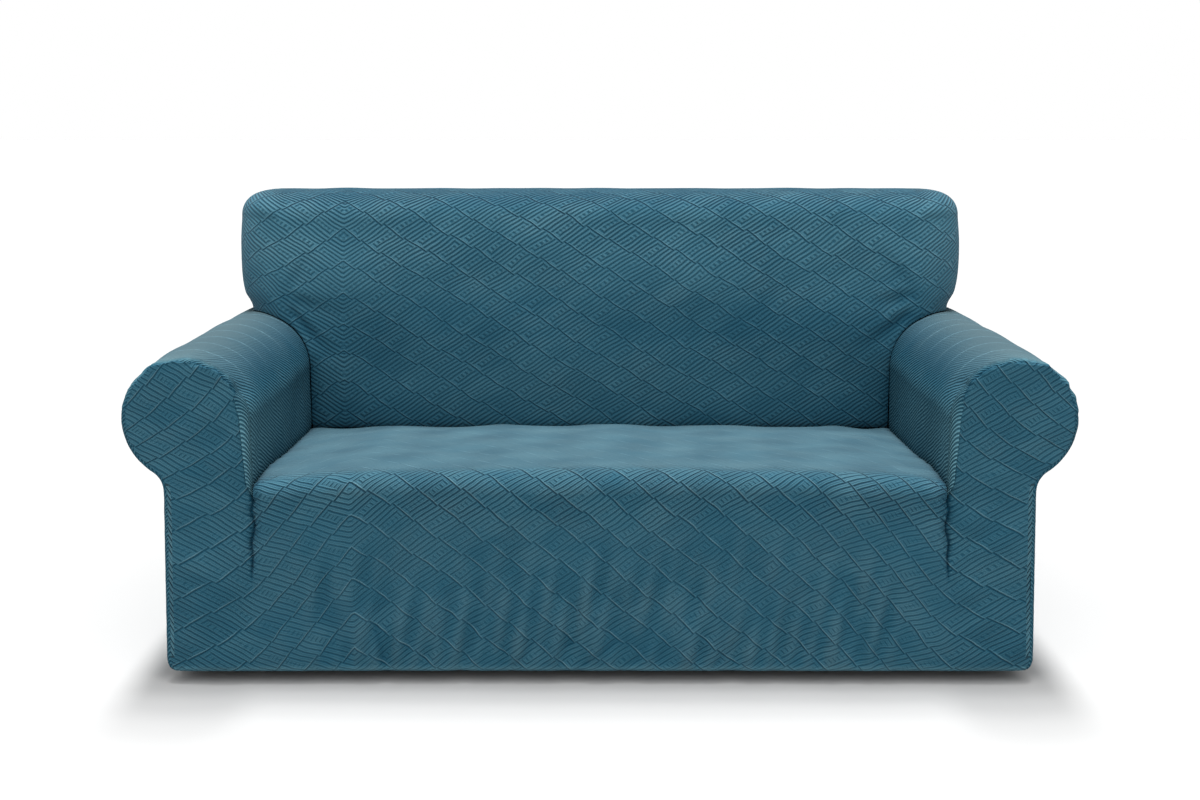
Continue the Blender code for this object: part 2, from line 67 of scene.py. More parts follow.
LEAST_INSET = 0.0005
REAR_INSET = 0.008
REAR_DRAW = 0.004
DART_TOP_Z = 0.336
DART_END_Z = 0.185
DART_TOP_X = 0.6485
DART_FLARE = 0.014
DART_DEPTH = 0.010
DART_WIDTH = 0.014
DART_ONSET = 1.6
DART_FADE_Z = 0.376
DART_FADE = 0.04
EDGE_RADIUS_MIDDLE = 0.040
EDGE_RADIUS_SIDE = 0.030
WING_BORDER_X = 0.717
WING_TOP_Z = 0.815
TOP_Z = 0.875
WING_CORNER = 0.60
CORNER_SOFT = 0.22       # how far the rim's side and top profiles mix where they meet, and where that begins
CORNER_FROM_Z = 0.690
CORNER_FROM_X = 0.560
LIFT = 0.0010
REAR_SEAM_Y = DEPTH - CLOTH - SEAM
NECK_ANGLE = -arccos((HALF_NECK + NECK_FILLET - ROLL_X) / (ROLL_RADIUS + NECK_FILLET))

# Rows hold (place, value).
DECK_SIDE = [(0.030, 0.366), (0.150, 0.370), (0.275, 0.362), (0.420, 0.357), (0.600, 0.352)]
DECK_MIDDLE = [(0.040, 0.390), (0.150, 0.392), (0.320, 0.388), (0.460, 0.379), (0.560, 0.364), (0.600, 0.352)]
BACK_FACE = [(0.340, 0.600), (0.490, 0.602), (0.600, 0.613), (0.700, 0.632), (0.815, 0.664)]
WING_SIDE = [(0.590, 0.806), (0.630, 0.822), (0.660, 0.830), (0.700, 0.835), (0.760, 0.837), (0.815, 0.833)]
INNER_INSET = [(0.336, 0.0005), (0.354, 0.003), (0.376, 0.010), (0.405, 0.012), (0.445, 0.015),
               (0.488, 0.017)]
ROLL_INSET = [(-61.0, 0.010), (0.0, 0.009), (45.0, 0.006), (62.0, 0.003), (84.0, 0.007), (105.0, 0.008),
              (130.0, 0.006), (154.0, 0.010), (165.0, 0.018), (180.0, 0.017)]
# The rim's rings: how far out and how far back each lies, on the side wing and over the top edge.
SIDE_OUT = [0.00, 0.27, 0.51, 0.71, 0.85, 0.93, 0.975, 1.00]
SIDE_BACK = [0.00, 0.05, 0.12, 0.21, 0.33, 0.52, 0.78, 1.00]
TOP_OUT = [0.00, 0.38, 0.70, 0.90, 1.00, 1.00, 0.95, 0.84]
TOP_BACK = [0.00, 0.05, 0.15, 0.29, 0.48, 0.72, 0.92, 1.00]
RINGS = range(8)

# Gathers of the front seam on each side: (angle round the roll, depth, length).
GATHERS = {
    -1: [(152.0, 0.005, 0.09), (118.0, 0.003, 0.06), (84.0, 0.004, 0.07), (40.0, 0.002, 0.05)],
    1: [(146.0, 0.004, 0.08), (104.0, 0.004, 0.07), (80.0, 0.003, 0.05), (52.0, 0.003, 0.06)],
}
GATHER_WIDTH = 9.0
# Ripples of the apron: (x, lean, height, depth, width).
RIPPLES = [
    (-0.530, 0.010, 0.16, 0.0025, 0.030), (-0.395, -0.020, 0.26, 0.0040, 0.036),
    (-0.262, 0.012, 0.30, 0.0045, 0.030), (-0.168, 0.018, 0.24, 0.0035, 0.026),
    (-0.060, 0.030, 0.28, 0.0040, 0.034), (0.058, 0.050, 0.22, 0.0035, 0.032),
    (0.152, 0.028, 0.30, 0.0045, 0.028), (0.246, 0.040, 0.25, 0.0040, 0.030),
    (0.345, 0.055, 0.20, 0.0035, 0.034), (0.470, 0.018, 0.24, 0.0030, 0.036),
]
RIPPLE_FADE = 1.35
# Pulls from the wings' feet into the back: (side, x0, z0, x1, z1, depth, width), and the swells above them.
PULLS = [
    (-1, 0.690, 0.610, 0.590, 0.505, 0.007, 0.020), (-1, 0.700, 0.640, 0.560, 0.600, 0.005, 0.024),
    (-1, 0.705, 0.665, 0.640, 0.745, 0.004, 0.026), (1, 0.690, 0.605, 0.570, 0.520, 0.007, 0.022),
    (1, 0.700, 0.645, 0.600, 0.625, 0.006, 0.020), (1, 0.700, 0.670, 0.610, 0.760, 0.004, 0.028),
]
PULL_SWELL = (0.022, 0.028)
# Hollows of the seat and the back: (x, place, depth, radius).
SEAT_HOLLOWS = [(-0.330, 0.300, 0.0040, 0.170), (0.290, 0.330, 0.0050, 0.190), (0.020, 0.420, -0.0030, 0.120)]
BACK_HOLLOWS = [(-0.280, 0.640, 0.0050, 0.160), (0.230, 0.600, 0.0060, 0.190),
                (0.500, 0.720, 0.0040, 0.120), (-0.520, 0.560, 0.0040, 0.110)]
CREASE_FADE = 0.10
CREASE_Z = 0.36
BORDER_FADE = 0.06

# ---- the sheets' own sizes
SEAM_GROOVE = 0.0022     # width of the groove beside a puckered seam
TUCK = 0.009             # how far a sleeve's lower edge goes down beside the seat
REAR_ARC = 0.30          # arc of an arm's outline beyond which its sleeve is sewn to the outside back
REAR_ARC_FADE = 0.06
WELD = 2e-5              # points of one piece that lie closer than this are one
SCROLL_TOP = 84.0        # direction in which the two edges of a scroll meet, in degrees
STATION_STEP = 0.0040    # between the stations of an arm's outline
REAR_COLUMNS = 181       # columns of the outside back
FACE_ROWS = 76           # rows of the back's upper face, and columns of its rim beside them
FOOT_COLUMNS = 17        # columns of that face that stand on each arm
# Small sharp creases low on the apron: (x0, z0, x1, z1, depth).
CREASES = [
    (-0.043, 0.004, 0.029, 0.062, 0.0018), (-0.061, 0.052, -0.007, 0.106, 0.0016),
    (-0.165, 0.010, -0.130, 0.056, 0.0016), (0.038, 0.002, 0.072, 0.028, 0.0014),
    (-0.424, 0.090, -0.412, 0.012, 0.0020), (0.215, 0.010, 0.255, 0.058, 0.0014),
]
CREASE_WIDTH = 0.0052
# Painted light and shade on the back: darker low down by the seat and lighter towards the top, by height,
# and lighter or darker in patches of (x, z, tone, radius).
BACK_PAINTED_LIGHT = [(0.350, -0.08), (0.375, -0.02), (0.400, 0.04), (0.450, 0.13), (0.500, 0.10), (0.560, 0.00),
             (0.620, 0.02), (0.680, 0.13), (0.740, 0.15), (0.900, 0.15)]
BACK_PATCHES = [(-0.770, 0.790, 0.13, 0.090), (0.770, 0.790, 0.13, 0.090), (-0.600, 0.710, 0.08, 0.110),
                (0.190, 0.690, 0.06, 0.090), (0.560, 0.750, 0.05, 0.080), (-0.080, 0.470, 0.06, 0.160),
                (0.420, 0.560, -0.05, 0.140), (-0.500, 0.460, -0.05, 0.120)]

# ---- the weave's scale
# The fret's cell: its step along a rail and its step along the ribs from one rail to the next, as (x, up).
FRONT_CELL = ((0.0433, -0.0340), (0.0454, 0.0299))
BACK_CELL = ((0.0482, -0.0284), (0.0532, 0.0343))
CELL_RIBS = 6.0          # ribs from one joint of the fret to the next
HALF_CELL = 3.0          # ribs' width from the middle of a cell to its rails
HOOK = 1.8               # ribs at a rail that turn into strokes along it
JOINT = 0.45             # half width of a joint, in ribs
MIRROR_FRONT = -0.466    # the weave is mirrored about this line of the front
MIRROR_BACK = -0.573     # and about this one of the back
RAIL_SLANT = 0.085       # how much a rail climbs along one block, before it steps back, in cells
RAIL_STRAY = 0.050       # and how far one step strays from the next
SLEEVE_CELL = 0.055      # unit of the sleeves' weave
SLEEVE_RIB = 0.0080
LINE_STEP = 0.085        # from one of the sleeves' fine broken lines to the next
CREST = 0.245            # arc of an arm's crest, where its ribs run straight across
CREST_WIDTH = 0.050
RIB_FALL = 0.50          # how steeply the ribs fall on their way back, down both sides of the arm
CORNER_FALL = 1.40       # and round the soft corner behind the front seam
EDGE_SHARE = 0.95        # the strip beyond this share of the posts' width has steep ribs of its own,
EDGE_RIB = 0.013         # of this pitch and slope, between these heights
EDGE_SLOPE = 1.6
STRIP_Z = (0.03, 0.37)
# How the front's weave is stretched, by x: half width of the relaxed cloth, and how far it is dragged up.
FRONT_STRETCH = [(0.0, 0.0), (0.30, 0.300), (0.50, 0.500), (0.62, 0.622), (0.70, 0.696), (0.78, 0.755),
                 (0.90, 0.840)]
FRONT_DRAG = [(0.0, 0.0), (0.36, 0.0), (0.44, 0.010), (0.52, 0.036), (0.60, 0.066), (0.65, 0.082),
              (0.70, 0.080), (0.90, 0.064)]
SCROLL_TURN = 0.55       # how much steeper the rails turn up the scrolls


# ---- helpers
def mix(a, b, share):
    return a + (b - a) * share


def smooth(share):
    share = clip(share, 0.0, 1.0)
    return share * share * (3.0 - 2.0 * share)


def bump(distance, width):
    return np.exp(-(distance / width) ** 2)


def fade(distance, width):
    return np.exp(-abs(distance) / width)


def curve(table, place):
    """Smooth values at places, through a table whose rows hold (place, value)."""
    at, value = np.array(table, float).T
    place = clip(place, at[0], at[-1])
    i = clip(np.searchsorted(at, place, side="right") - 1, 0, len(at) - 2)
    low = maximum(np.arange(len(at)) - 1, 0)
    high = minimum(np.arange(len(at)) + 1, len(at) - 1)
    slope = (value[high] - value[low]) / (at[high] - at[low])
    width = at[i + 1] - at[i]
    t = (place - at[i]) / width
    return ((1 + 2 * t) * (1 - t) ** 2 * value[i] + t * (1 - t) ** 2 * width * slope[i]
            + t * t * (3 - 2 * t) * value[i + 1] + t * t * (t - 1) * width * slope[i + 1])


def waves(place, length, seed, spread=0.45, count=7):
    """Uneven waves of about that length and unit strength along one direction."""
    random = np.random.default_rng(seed)
    total = 0.0
    for _ in range(count):
        own = length * (1 + spread * (2 * random.random() - 1))
        total += sin(2 * pi * (place / own + random.random()))
    return total / sqrt(count / 2)


def clouds(x, y, length, seed, count=9):
    """Uneven soft swells of about that length in every direction."""
    random = np.random.default_rng(seed)
    total = 0.0
    for _ in range(count):
        turn = 2 * pi * random.random()
        own = length * (0.7 + 0.7 * random.random())
        total += sin(2 * pi * ((x * cos(turn) + y * sin(turn)) / own + random.random()))
    return total / sqrt(count / 2)


def spaced(knots):
    """Values from (value, step) knots: each stretch to the next knot is cut into steps of about that size."""
    parts = []
    for (start, step), (end, _) in zip(knots, knots[1:]):
        count = max(1, int(round(abs(end - start) / step)))
        parts.append(linspace(start, end, count, endpoint=False))
    return concatenate(parts + [[knots[-1][0]]])


def run_along(*coordinates):
    """Length along each column of points, from its first."""
    steps = sqrt(sum(np.diff(c, axis=0) ** 2 for c in coordinates))
    return concatenate([zeros((1, *steps.shape[1:])), np.cumsum(steps, axis=0)])


def on_segment(x, z, x0, z0, x1, z1):
    """How far places lie along a straight segment, as a share of it, and how far away from it."""
    run_x, run_z = x1 - x0, z1 - z0
    share = clip(((x - x0) * run_x + (z - z0) * run_z) / (run_x ** 2 + run_z ** 2), 0.0, 1.0)
    return share, hypot(x - x0 - share * run_x, z - z0 - share * run_z)


def spots(table, x, place):
    """Sum of soft round spots, from rows of (x, place, value, radius)."""
    return sum(value * bump(hypot(x - x0, place - place0), radius) for x0, place0, value, radius in table)


# ---- section rules
def dart_x(z):
    return DART_TOP_X + DART_FLARE * (1.0 - minimum(z, DART_TOP_Z) / DART_TOP_Z)


def dart_share(z):
    return smooth((z - DART_END_Z) / (DART_TOP_Z - DART_END_Z) * DART_ONSET)


def dart_setback(z):
    """How far behind the flat the inner edge of an arm's front lies at height z."""
    return mix(EDGE_SETBACK, DART_DEPTH, smooth((DART_FADE_Z - z) / DART_FADE))


def deck_side(y):
    drop = clip(EDGE_RADIUS_SIDE - y, 0.0, EDGE_RADIUS_SIDE)
    edge = DECK_SIDE[0][1] - EDGE_RADIUS_SIDE + sqrt(EDGE_RADIUS_SIDE ** 2 - drop ** 2)
    return where(y < EDGE_RADIUS_SIDE, edge, curve(DECK_SIDE, y))


def crown(x):
    return 1.0 - minimum(1.0, abs(x) / HALF_INNER) ** 4


def deck(x, y):
    free = crown(x) * smooth((SEAT_DEPTH - y) / CREASE_FADE)
    return mix(curve(DECK_SIDE, y), curve(DECK_MIDDLE, y), crown(x)) - free * spots(SEAT_HOLLOWS, x, y)


def ripple_depth(x, z):
    depth = 0.0
    for ripple_x, lean, height, most, width in RIPPLES:
        along = z / height
        depth += most * bump(x - ripple_x - lean * along, width) * smooth(RIPPLE_FADE - along)
    return depth


def pull_depth(x, z, sharp=1.0, lifted=(0.0, 0.0)):
    """Depth of the pulls, or of the same shapes lifted at their start and end."""
    depth = 0.0
    for side, x0, z0, x1, z1, most, width in PULLS:
        share, away = on_segment(side * x, z, x0, z0 + lifted[0], x1, z1 + lifted[1])
        depth += most * (1.0 - share) * bump(away, width * sharp)
    return depth


def back_face(x, z):
    free = smooth((z - CREASE_Z) / CREASE_FADE) * smooth((WING_BORDER_X - abs(x)) / BORDER_FADE)
    return curve(BACK_FACE, z) + free * (spots(BACK_HOLLOWS, x, z) + pull_depth(x, z))


def roll_angle(u):
    return arccos(clip((u - ROLL_X) / (ROLL_RADIUS + LIFT), -1.0, 1.0))


def on_roll(u):
    """Height of the roll's upper surface, lifted by LIFT, at u."""
    return ROLL_Z + (ROLL_RADIUS + LIFT) * sin(roll_angle(u))


FACE_FOOT_Y = float(curve(BACK_FACE, on_roll(WING_BORDER_X)))
WING_REACH = WING_SIDE[0][1] - WING_BORDER_X


def on_ring(values, ring):
    return curve(list(zip(RINGS, values)), ring)


def wing_foot_y(u):
    """Depth of the back's lower edge where it stands on an arm's roll, at u."""
    share = clip((u - WING_BORDER_X) / WING_REACH, 0.0, 1.0)
    turned = mix(FACE_FOOT_Y, REAR_SEAM_Y, on_ring(SIDE_BACK, np.interp(share, SIDE_OUT, RINGS)))
    return where(u <= WING_BORDER_X, curve(BACK_FACE, on_roll(u)), turned)


# ---- an arm's outline
def foot_draw(z):
    """How far the hem draws the outer sides in at their foot."""
    return FOOT_DRAW * clip(1.0 - z / FOOT_DRAW_Z, 0.0, 1.0) ** 2


class Outline:
    """Stations of an arm's section, from the seat's crease over the roll and down to the hem's inner edge."""

    def __init__(self, step):
        inner = linspace(0.0, 1.0, int(0.14 / step) + 1)
        roll = linspace(pi, NECK_ANGLE, int(ROLL_RADIUS * (pi - NECK_ANGLE) / step) + 1)[1:]
        fillet = linspace(pi + NECK_ANGLE, pi, 14)[1:]
        fillet_z = ROLL_Z + (ROLL_RADIUS + NECK_FILLET) * sin(NECK_ANGLE)
        side = linspace(0.0, 1.0, int(0.34 / (1.4 * step)) + 1)[1:]
        curl = linspace(0.0, pi / 2, 6)[1:]
        curl_under = HEM_RADIUS * (1 - cos(curl))
        back = linspace(HEM_RADIUS, HEM_RETURN, 4)[1:]
        # Each stretch: its places, then u, z, the outward direction in u and z, and how far in the hem curls.
        stretches = [
            (inner, HALF_INNER, ROLL_Z, -1.0, 0.0, 0.0),
            (roll, ROLL_X + ROLL_RADIUS * cos(roll), ROLL_Z + ROLL_RADIUS * sin(roll),
             cos(roll), sin(roll), 0.0),
            (fillet, HALF_NECK + NECK_FILLET * (1 + cos(fillet)), fillet_z + NECK_FILLET * sin(fillet),
             -cos(fillet), -sin(fillet), 0.0),
            (side, mix(HALF_NECK, HALF_SIDE, side), mix(fillet_z, HEM_RADIUS, side), 1.0, 0.0, 0.0),
            (curl, HALF_SIDE - curl_under, HEM_RADIUS * (1 - sin(curl)), 1.0, 0.0, curl_under),
            (back, HALF_SIDE - back, 0.0, 1.0, 0.0, back)]
        _, self.u, self.z, self.nu, self.nz, self.under = (
            concatenate(column) for column in zip(*(np.broadcast_arrays(*row) for row in stretches)))
        place = np.arange(len(self.u))
        roll_from, fillet_from = len(inner), len(inner) + len(roll)
        self.rise = concatenate([inner, np.ones(len(place) - roll_from)])
        self.is_inner = place < roll_from
        self.is_roll = ~self.is_inner & (place < fillet_from)
        self.is_low = place >= fillet_from + len(fillet)
        self.u = self.u - foot_draw(self.z) * self.is_low
        self.facing = np.degrees(arccos(clip(self.nu, -1, 1))) * where(self.nz < 0, -1, 1)
        # How strongly the front seam is puckered: most over the top, hardly down the inner side.
        over = smooth((self.facing + 25.0) / 60.0) * smooth((168.0 - self.facing) / 30.0)
        self.pull = where(self.is_inner, 0.06, 0.10 + 0.9 * over * self.is_roll)
        run = run_along(self.u, self.height(0.1))
        self.arc = run - run[roll_from - 1]
        # The arm front's edge: how far inside the outline and how far behind the flat it lies.
        z = self.height(CLOTH)
        inset = where(self.is_low, ROLL_INSET[0][1], curve(ROLL_INSET, self.facing))
        inset = where(self.is_inner, curve(INNER_INSET, z), inset)
        self.inset = maximum(LEAST_INSET, inset - self.under)
        self.seam_y = where(self.is_inner, dart_setback(z), EDGE_SETBACK + self.under)
        self.corner = maximum(CORNER_LEAST, CORNER - self.under)
        # And how far inside it the outside back's edge lies.
        rear = smooth((self.arc - REAR_ARC) / REAR_ARC_FADE)
        self.rear_inset = REAR_INSET * rear * maximum(0.0, 1 - self.under / 0.008)

    def height(self, y):
        """Heights of the stations at depth y."""
        return where(self.is_inner, mix(deck_side(y) - CLOTH, ROLL_Z, self.rise), self.z)


def seam_pucker(side, arc):
    """Uneven puckers along an arm's front seam."""
    return 0.7 * waves(arc, 0.034, 11 + side) + 0.3 * waves(arc, 0.014, 21 + side)


def seam_inset(side, arm):
    """How far inside an arm's outline its front seam runs, a little unevenly."""
    return arm.inset - 0.0011 * waves(arm.arc, 0.042, 41 + side) * arm.pull


# ---- weave coordinates
def fret(x, up, cell):
    """(along, across) in cells of the fret, from flat cloth coordinates in metres."""
    (rail_x, rail_up), (rib_x, rib_up) = cell
    area = rail_x * rib_up - rib_x * rail_up
    return (x * rib_up - up * rib_x) / area, (up * rail_x - x * rail_up) / area


def front_weave(x, up):
    relaxed = np.sign(x) * curve(FRONT_STRETCH, abs(x))
    from_mirror = relaxed + float(curve(FRONT_STRETCH, -MIRROR_FRONT))
    along, across = fret(abs(from_mirror), up + curve(FRONT_DRAG, abs(x)), FRONT_CELL)
    steeper = SCROLL_TURN * smooth((up - 0.30) / 0.24) * maximum(0.0, abs(x) - HALF_INNER)
    return along, across + np.sign(from_mirror) * np.sign(x) * fret(0.0, steeper, FRONT_CELL)[1]


def back_weave(x, up):
    return fret(abs(x - MIRROR_BACK), up, BACK_CELL)


def sleeve_weave(arc, turned, y):
    """A sleeve's weave at an arc over the arm, a way round the corner at the seam and a depth behind that."""
    ribs = hypot(arc - CREST, CREST_WIDTH) - CORNER_FALL * turned - RIB_FALL * y
    return ribs / SLEEVE_CELL, (y + turned - 0.06 * arc) / SLEEVE_CELL


# ---- pieces
class Grid:
    """Points of one surface in rows, with its weave coordinates, weave depth, painted light and lines.

    These may be numbers or arrays: how deep the weave is, how light the cloth is painted, which is its own
    uneven tone together with painted light and shade, how much grey with a painted sheen lies on it and how
    clearly the sleeves' broken lines show.
    """

    def __init__(self, x, y, z, weave, depth=1.0, tone=0.5, bloom=0.0, lines=0.0, flip=False):
        x, y, z = np.broadcast_arrays(x, y, z)
        self.points = np.stack([x, y - DEPTH / 2, z], -1)
        self.weave = np.stack(np.broadcast_arrays(*weave), -1)
        # The first layer holds the weave's depth, then the painted light and shade with the cloth's own tone.
        self.depth_and_painted_light = np.stack(np.broadcast_arrays(depth, tone, x)[:2], -1)
        # The second holds the grey with its painted sheen, then the sleeves' lines.
        self.bloom = np.stack(np.broadcast_arrays(bloom, lines, x)[:2], -1)
        if flip:
            self.points, self.weave, self.depth_and_painted_light, self.bloom = (
                a[:, ::-1] for a in (self.points, self.weave, self.depth_and_painted_light, self.bloom))


def raised(x, y, z, height):
    """Points moved along their surface's outward normal."""
    points = np.stack(np.broadcast_arrays(x, y, z), -1)
    normal = np.cross(np.gradient(points, axis=1), np.gradient(points, axis=0))
    normal /= maximum(np.linalg.norm(normal, axis=-1, keepdims=True), 1e-12)
    return np.moveaxis(points + normal * height[..., None], -1, 0)


def cloth_sheet(name, grids, material, node):
    """One sheet from grids that share their edges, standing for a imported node."""
    points = concatenate([g.points.reshape(-1, 3) for g in grids])
    layers = {layer: concatenate([getattr(g, layer).reshape(-1, 2) for g in grids])
              for layer in ("weave", "depth_and_painted_light", "bloom")}
    quads, first = [], 0
    for g in grids:
        rows, columns = g.points.shape[:2]
        index = first + np.arange(rows * columns).reshape(rows, columns)
        around = (index[:-1, :-1], index[:-1, 1:], index[1:, 1:], index[1:, :-1])
        quads.append(np.stack(around, -1).reshape(-1, 4))
        first += rows * columns
    quads = concatenate(quads)
    _, keep, merged = np.unique(np.round(points / WELD).astype(np.int64), axis=0,
                                return_index=True, return_inverse=True)
    merged = merged.reshape(-1)
    faces, corners = [], []
    for quad in quads.tolist():
        face = [k for i, k in enumerate(quad) if merged[k] != merged[quad[i - 1]]]
        if len(face) > 2:
            faces.append([merged[k] for k in face])
            corners += face
    mesh = bpy.data.meshes.new(name)
    mesh.from_pydata(points[keep].tolist(), [], faces)
    for layer, values in layers.items():
        mesh.uv_layers.new(name=layer).data.foreach_set("uv", values[corners].reshape(-1))
    mesh.shade_smooth()
    mesh.materials.append(material)
    piece = bpy.data.objects.new(name, mesh)
    bpy.context.scene.collection.objects.link(piece)
    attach(piece, "root")
    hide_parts(node)
    return piece


# ---- seat, apron and arm fronts
# How far in under the hem, and how high, each row of the hem lies; the rows above it only rise.
HEM_ROWS = [(HEM_RETURN, 0.0), (0.024, 0.0), (0.018, 0.0)] + [
    (HEM_RADIUS * (1 - cos(a)), HEM_RADIUS * (1 - sin(a))) for a in linspace(pi / 2, 0, 6)]
FRONT_UNDER, FRONT_LEVEL = np.array(
    HEM_ROWS + [(0.0, z) for z in spaced([(HEM_RADIUS, 0.0036), (DART_TOP_Z, 0.0036)])[1:]]).T


def dart_sharp(z):
    """How deep the dart's crease is at height z."""
    return smooth((z - 0.168) / 0.050)


def dart_off(x, z):
    """Distance from the dart's uneven crease."""
    return abs(x) - dart_x(z) + 0.0013 * waves(z, 0.055, 4) * (z < DART_TOP_Z)


def dart_painted_shade(x, z):
    """Painted shade in the dart's crease and close beside it, with painted light and shade in short ticks
    beside it.
    """
    low = (z < DART_TOP_Z + 0.004) * dart_sharp(z)
    ticks = 0.24 * waves(z - 0.7 * abs(dart_off(x, z)), 0.011, 12) * bump(abs(dart_off(x, z)) - 0.005, 0.004)
    return low * (0.6 * bump(dart_off(x, z), 0.0021) + 0.14 * bump(dart_off(x, z), 0.009) + ticks)


def streaks(x, z):
    """Uneven upright streaks of the apron's lower half."""
    low = smooth((0.30 - z) / 0.16) * smooth((0.62 - abs(x)) / 0.12)
    return low * clouds(4.0 * (x - 0.12 * z), z, 0.17, 10)


def crease_depth(x, z):
    return sum(depth * bump(on_segment(x, z, *ends)[1], CREASE_WIDTH) for *ends, depth in CREASES)


def front_relief(x, z):
    """How far the front cloth stands out of its plane: ripples, darts, creases, wrinkles and puckers."""
    away = dart_x(z) - abs(x)
    share = dart_share(z)
    sharp = dart_sharp(z)
    out = -ripple_depth(x, z)
    out -= DART_DEPTH * share * where(away > 0, bump(away, DART_WIDTH), fade(away, 0.011))
    out -= 0.0075 * sharp * fade(dart_off(x, z), 0.0022)
    along = z - 0.9 * abs(away)
    wrinkle = where(x < 0, waves(along, 0.016, 5), waves(along, 0.017, 6))
    out += 0.0016 * sharp * fade(away, 0.013) * wrinkle * smooth(abs(away) / 0.003)
    between = smooth((0.26 - z) / 0.2) * smooth((HALF_INNER - abs(x)) / 0.1)
    out += 0.0007 * waves(x - 0.15 * z, 0.060, 7) * between
    out += 0.0005 * waves(x, 0.012, 8) * fade(z, 0.010)
    out += 0.0011 * clouds(x, z, 0.16, 9) - crease_depth(x, z)
    out += 0.0024 * streaks(x, z) * smooth(z / 0.04)
    return out


def hem_painted_light(z):
    """Painted light along the hem, strongest over its curl, which faces down, to give it a bright edge."""
    return 0.24 * smooth((0.020 - z) / 0.014) + 0.26 * smooth((0.013 - z) / 0.003)


def apron_columns():
    share = spaced([(0.0, 0.0085), (0.925, 0.0040), (0.968, 0.0022), (0.985, 0.0011), (1.0, 1.0)])
    return concatenate([-share[:0:-1], share])


def apron():
    share = apron_columns()[None, :]
    level, under = FRONT_LEVEL[:, None], FRONT_UNDER[:, None]
    x = share * dart_x(level)
    edge_z = DECK_SIDE[0][1] - EDGE_RADIUS_SIDE
    lift = mix(edge_z, DECK_MIDDLE[0][1] - EDGE_RADIUS_MIDDLE, crown(x)) / edge_z
    z = where(level <= HEM_RADIUS, level, level * mix(1.0, lift, smooth(level / DART_TOP_Z)))
    y = under - front_relief(x, where(level <= HEM_RADIUS, level, z)) * smooth(1.0 - under / 0.02)
    y = where(under > 0.0, maximum(y, under - 0.002), y)
    depth = 0.95 + 0.55 * smooth((z - 0.27) / 0.06)
    # Painted shade in the dart and the small creases, painted light and shade on the streaks and painted light
    # along the hem; the streaks also get a little painted sheen over an even grey.
    tone = 0.55 - dart_painted_shade(x, z) + 0.045 * streaks(x, z) + hem_painted_light(z) - 90.0 * crease_depth(x, z)
    return [Grid(x, y, z, front_weave(x, z - 0.8 * under), depth, tone, 0.02 + 0.03 * streaks(x, z))]


def seat():
    share = apron_columns()
    x = share * (HALF_INNER - SEAM)
    near = abs(x) - HALF_INNER
    radius = mix(EDGE_RADIUS_SIDE, EDGE_RADIUS_MIDDLE, crown(x))
    top = deck(x, radius)
    # The first row is the apron's last. Its relief dies away over the first part of the round edge.
    first_x, first_z = share * dart_x(DART_TOP_Z), top - radius
    first_y = -front_relief(first_x, first_z)
    angle = linspace(0, pi / 2, 15)[1:, None]
    draw = DART_DEPTH * bump(near, DART_WIDTH) * maximum(0.0, 1 - angle / (pi / 3))
    back = spaced([(0.0, 0.011), (0.86, 0.009), (0.96, 0.006), (1.0, 1.0)])[1:, None]
    y_deck = mix(radius, SEAT_DEPTH - SEAM, back)
    path = concatenate([radius * angle, radius * pi / 2 + (y_deck - radius)])
    y = concatenate([radius * (1 - cos(angle)) + draw, y_deck])
    y += first_y * fade(path, 0.018) * (1 - bump(near, 0.02))
    z = concatenate([top - radius * (1 - sin(angle)), deck(x, y_deck)])
    x = np.vstack([first_x, np.broadcast_to(x, y.shape)])
    y, z = np.vstack([first_y, y]), np.vstack([first_z, z])
    path = np.vstack([zeros(len(share)), path])
    swell = 0.0012 * clouds(x, y, 0.20, 31) * smooth(path / 0.06) * smooth(-near / 0.06)
    swell += 0.0007 * waves(y + 0.05 * x, 0.050, 32) * smooth(path / 0.05) * bump(abs(x) - 0.62, 0.16)
    swell -= 0.006 * fade(SEAT_DEPTH - y, 0.007)
    swell -= 0.0025 * fade(near, 0.005) * smooth(path / 0.04)
    swell += 0.0016 * waves(x, 0.16, 33) * bump(SEAT_DEPTH - 0.012 - y, 0.02)
    flat = smooth((path - 0.036) / 0.05)
    depth = mix(1.6, 0.36, smooth((path - 0.050) / 0.05))
    # Painted shade in the crease beside each arm and painted light on the flat top, with uneven tone over it;
    # the flat top also gets grey with a painted sheen.
    tone = 0.57 - 0.3 * bump(near, 0.012) + 0.03 * flat + 0.05 * flat * clouds(x, y, 0.11, 34)
    return [Grid(x, y, z + swell, front_weave(x, first_z + path), depth, tone, 0.05 + 0.18 * flat)]


